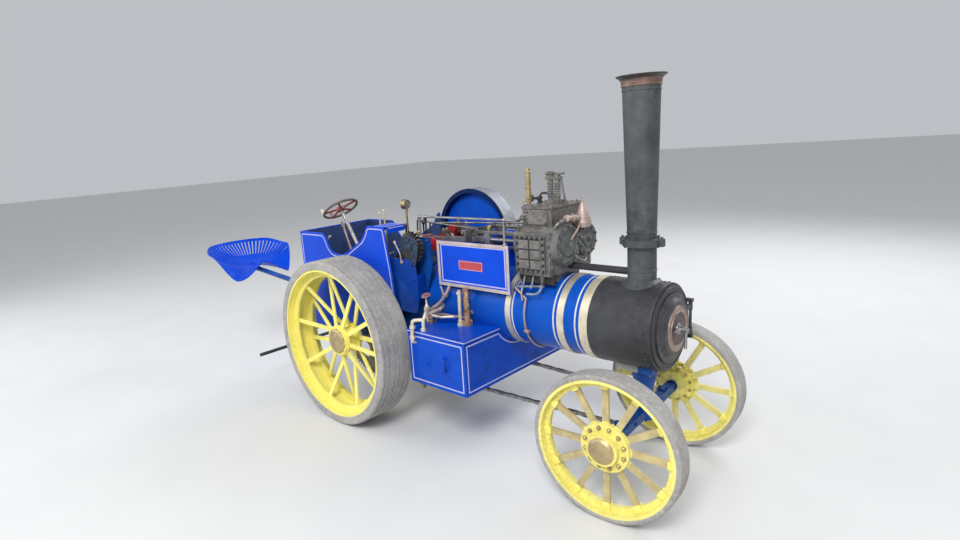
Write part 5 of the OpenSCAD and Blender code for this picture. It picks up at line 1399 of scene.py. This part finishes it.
def pan_point(step, share, drop=0.0):
    """A place on the pan, by its step round and its share of the way out."""
    turn = step * 360 / PAN_STEPS
    fold = min(turn, 360 - turn)
    r = SEAT_R * eased(PAN_REACH, fold) * share
    a = radians(turn)
    z = SEAT_Z + SEAT_T + eased(PAN_RISE, fold) * share ** 2.2 - drop
    return (-SEAT_BACK - r * cos(a), -SEAT_Y + r * sin(a), z)


@piece(BLUE, sharp=50)
def seat_pan_pressed(bm):
    """Both faces of the pan; every third step is open where the slots are."""
    def face(drop):
        rows = [[bm.verts.new(P(*pan_point(i, s, drop))) for i in range(PAN_STEPS)] for s in PAN_RINGS]
        return rows, bm.verts.new(P(*pan_point(0, 0, drop)))
    (top, top_mid), (low, low_mid) = face(0.0), face(SEAT_T)

    def wall(k, m, i, j):
        """A face between the two sheets, from ring k and step i to ring m and step j."""
        bm.faces.new((top[k][i], top[m][j], low[m][j], low[k][i]))

    for i in range(PAN_STEPS):
        j = (i + 1) % PAN_STEPS
        bm.faces.new((top_mid, top[0][i], top[0][j]))
        bm.faces.new((low_mid, low[0][j], low[0][i]))
        turn = min(i, PAN_STEPS - i) * 360 / PAN_STEPS
        slotted = turn < SLOT_REACH and i % 3 == 0
        for k in range(len(PAN_RINGS) - 1):
            if slotted and SLOT_IN <= k < SLOT_OUT:
                wall(k, k + 1, i, i)
                wall(k, k + 1, j, j)
            else:
                bm.faces.new((top[k][i], top[k + 1][i], top[k + 1][j], top[k][j]))
                bm.faces.new((low[k][i], low[k][j], low[k + 1][j], low[k + 1][i]))
        if slotted:
            wall(SLOT_IN, SLOT_IN, i, j)
            wall(SLOT_OUT, SLOT_OUT, i, j)
        wall(-1, -1, i, j)


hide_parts("seat")


@piece(BLUE)
def seat_rolled_edge(bm):
    """The rolled edge, just inside the pan's outline, and the bolt that holds the pan to its arm."""
    tube(bm, [pan_point(i % PAN_STEPS, 0.982, 1.4) for i in range(PAN_STEPS + 1)], 3.2)
    middle = (-SEAT_BACK, -SEAT_Y, SEAT_Z + SEAT_T)
    lathe(bm, middle, UP, [(17, -0.2), (16, 2), (9, 3), (0, 3)], 28)
    nut(bm, (*middle[:2], middle[2] + 3), UP, 13)


# Camera, light and floor
AZ, EL, ROLL = radians(45.58), radians(11.66), radians(-4.33)
CAM_PLACE, CAM_LENS, CAM_SHIFT = (1886.7, -1607.1, 1056.8), 22.03, (0.0456, -0.0021)


def put(name, data):
    """A new object in the scene that holds the data."""
    o = bpy.data.objects.new(name, data)
    bpy.context.collection.objects.link(o)
    return o


def place_camera():
    """The photograph's own view."""
    back = Vector((sin(AZ) * cos(EL), -cos(AZ) * cos(EL), sin(EL)))
    level_way = Vector((cos(AZ), sin(AZ), 0))
    upright = back.cross(level_way)
    right = level_way * cos(ROLL) + upright * sin(ROLL)
    up = upright * cos(ROLL) - level_way * sin(ROLL)
    data = bpy.data.cameras.new("camera")
    data.sensor_width = 36
    data.lens = CAM_LENS
    data.shift_x, data.shift_y = CAM_SHIFT
    data.clip_start = 0.05
    cam = put("camera", data)
    cam.matrix_world = Matrix.Translation(P(*CAM_PLACE)) @ Matrix((right, up, back)).transposed().to_4x4()
    bpy.context.scene.camera = cam


def area_light(name, at, size, power):
    """A square light that looks at the engine's middle."""
    data = bpy.data.lights.new(name, "AREA")
    data.shape = "SQUARE"
    data.size = size
    data.energy = power
    o = put(name, data)
    o.location = at
    o.rotation_euler = (Vector((0, 0, 0.4)) - Vector(at)).to_track_quat("-Z", "Y").to_euler()


def pale_floor(nt):
    grain = noise(nt, 3.0, 5.0)
    return {"Base Color": mix(nt, grain, (660, 660, 660), (740, 740, 730)), "Roughness": 0.85}


place_camera()
area_light("key", (2.2, -3.2, 3.6), 1.6, 170)
area_light("fill", (-3.0, -2.6, 2.2), 3.0, 60)
area_light("rim", (1.0, 3.6, 3.2), 2.5, 90)

world = bpy.data.worlds.new("world")
bpy.context.scene.world = world
world.use_nodes = True
sky = world.node_tree.nodes["Background"].inputs
sky[0].default_value = (0.92, 0.95, 1.0, 1)
sky[1].default_value = 0.55
bpy.context.scene.view_settings.view_transform = "Standard"

floor_mesh = bpy.data.meshes.new("floor")
floor_mesh.from_pydata([(-30, -30, 0), (30, -30, 0), (30, 30, 0), (-30, 30, 0)], [], [(0, 1, 2, 3)])
floor_mesh.materials.append(material("pale floor", pale_floor))
floor = put("floor", floor_mesh)
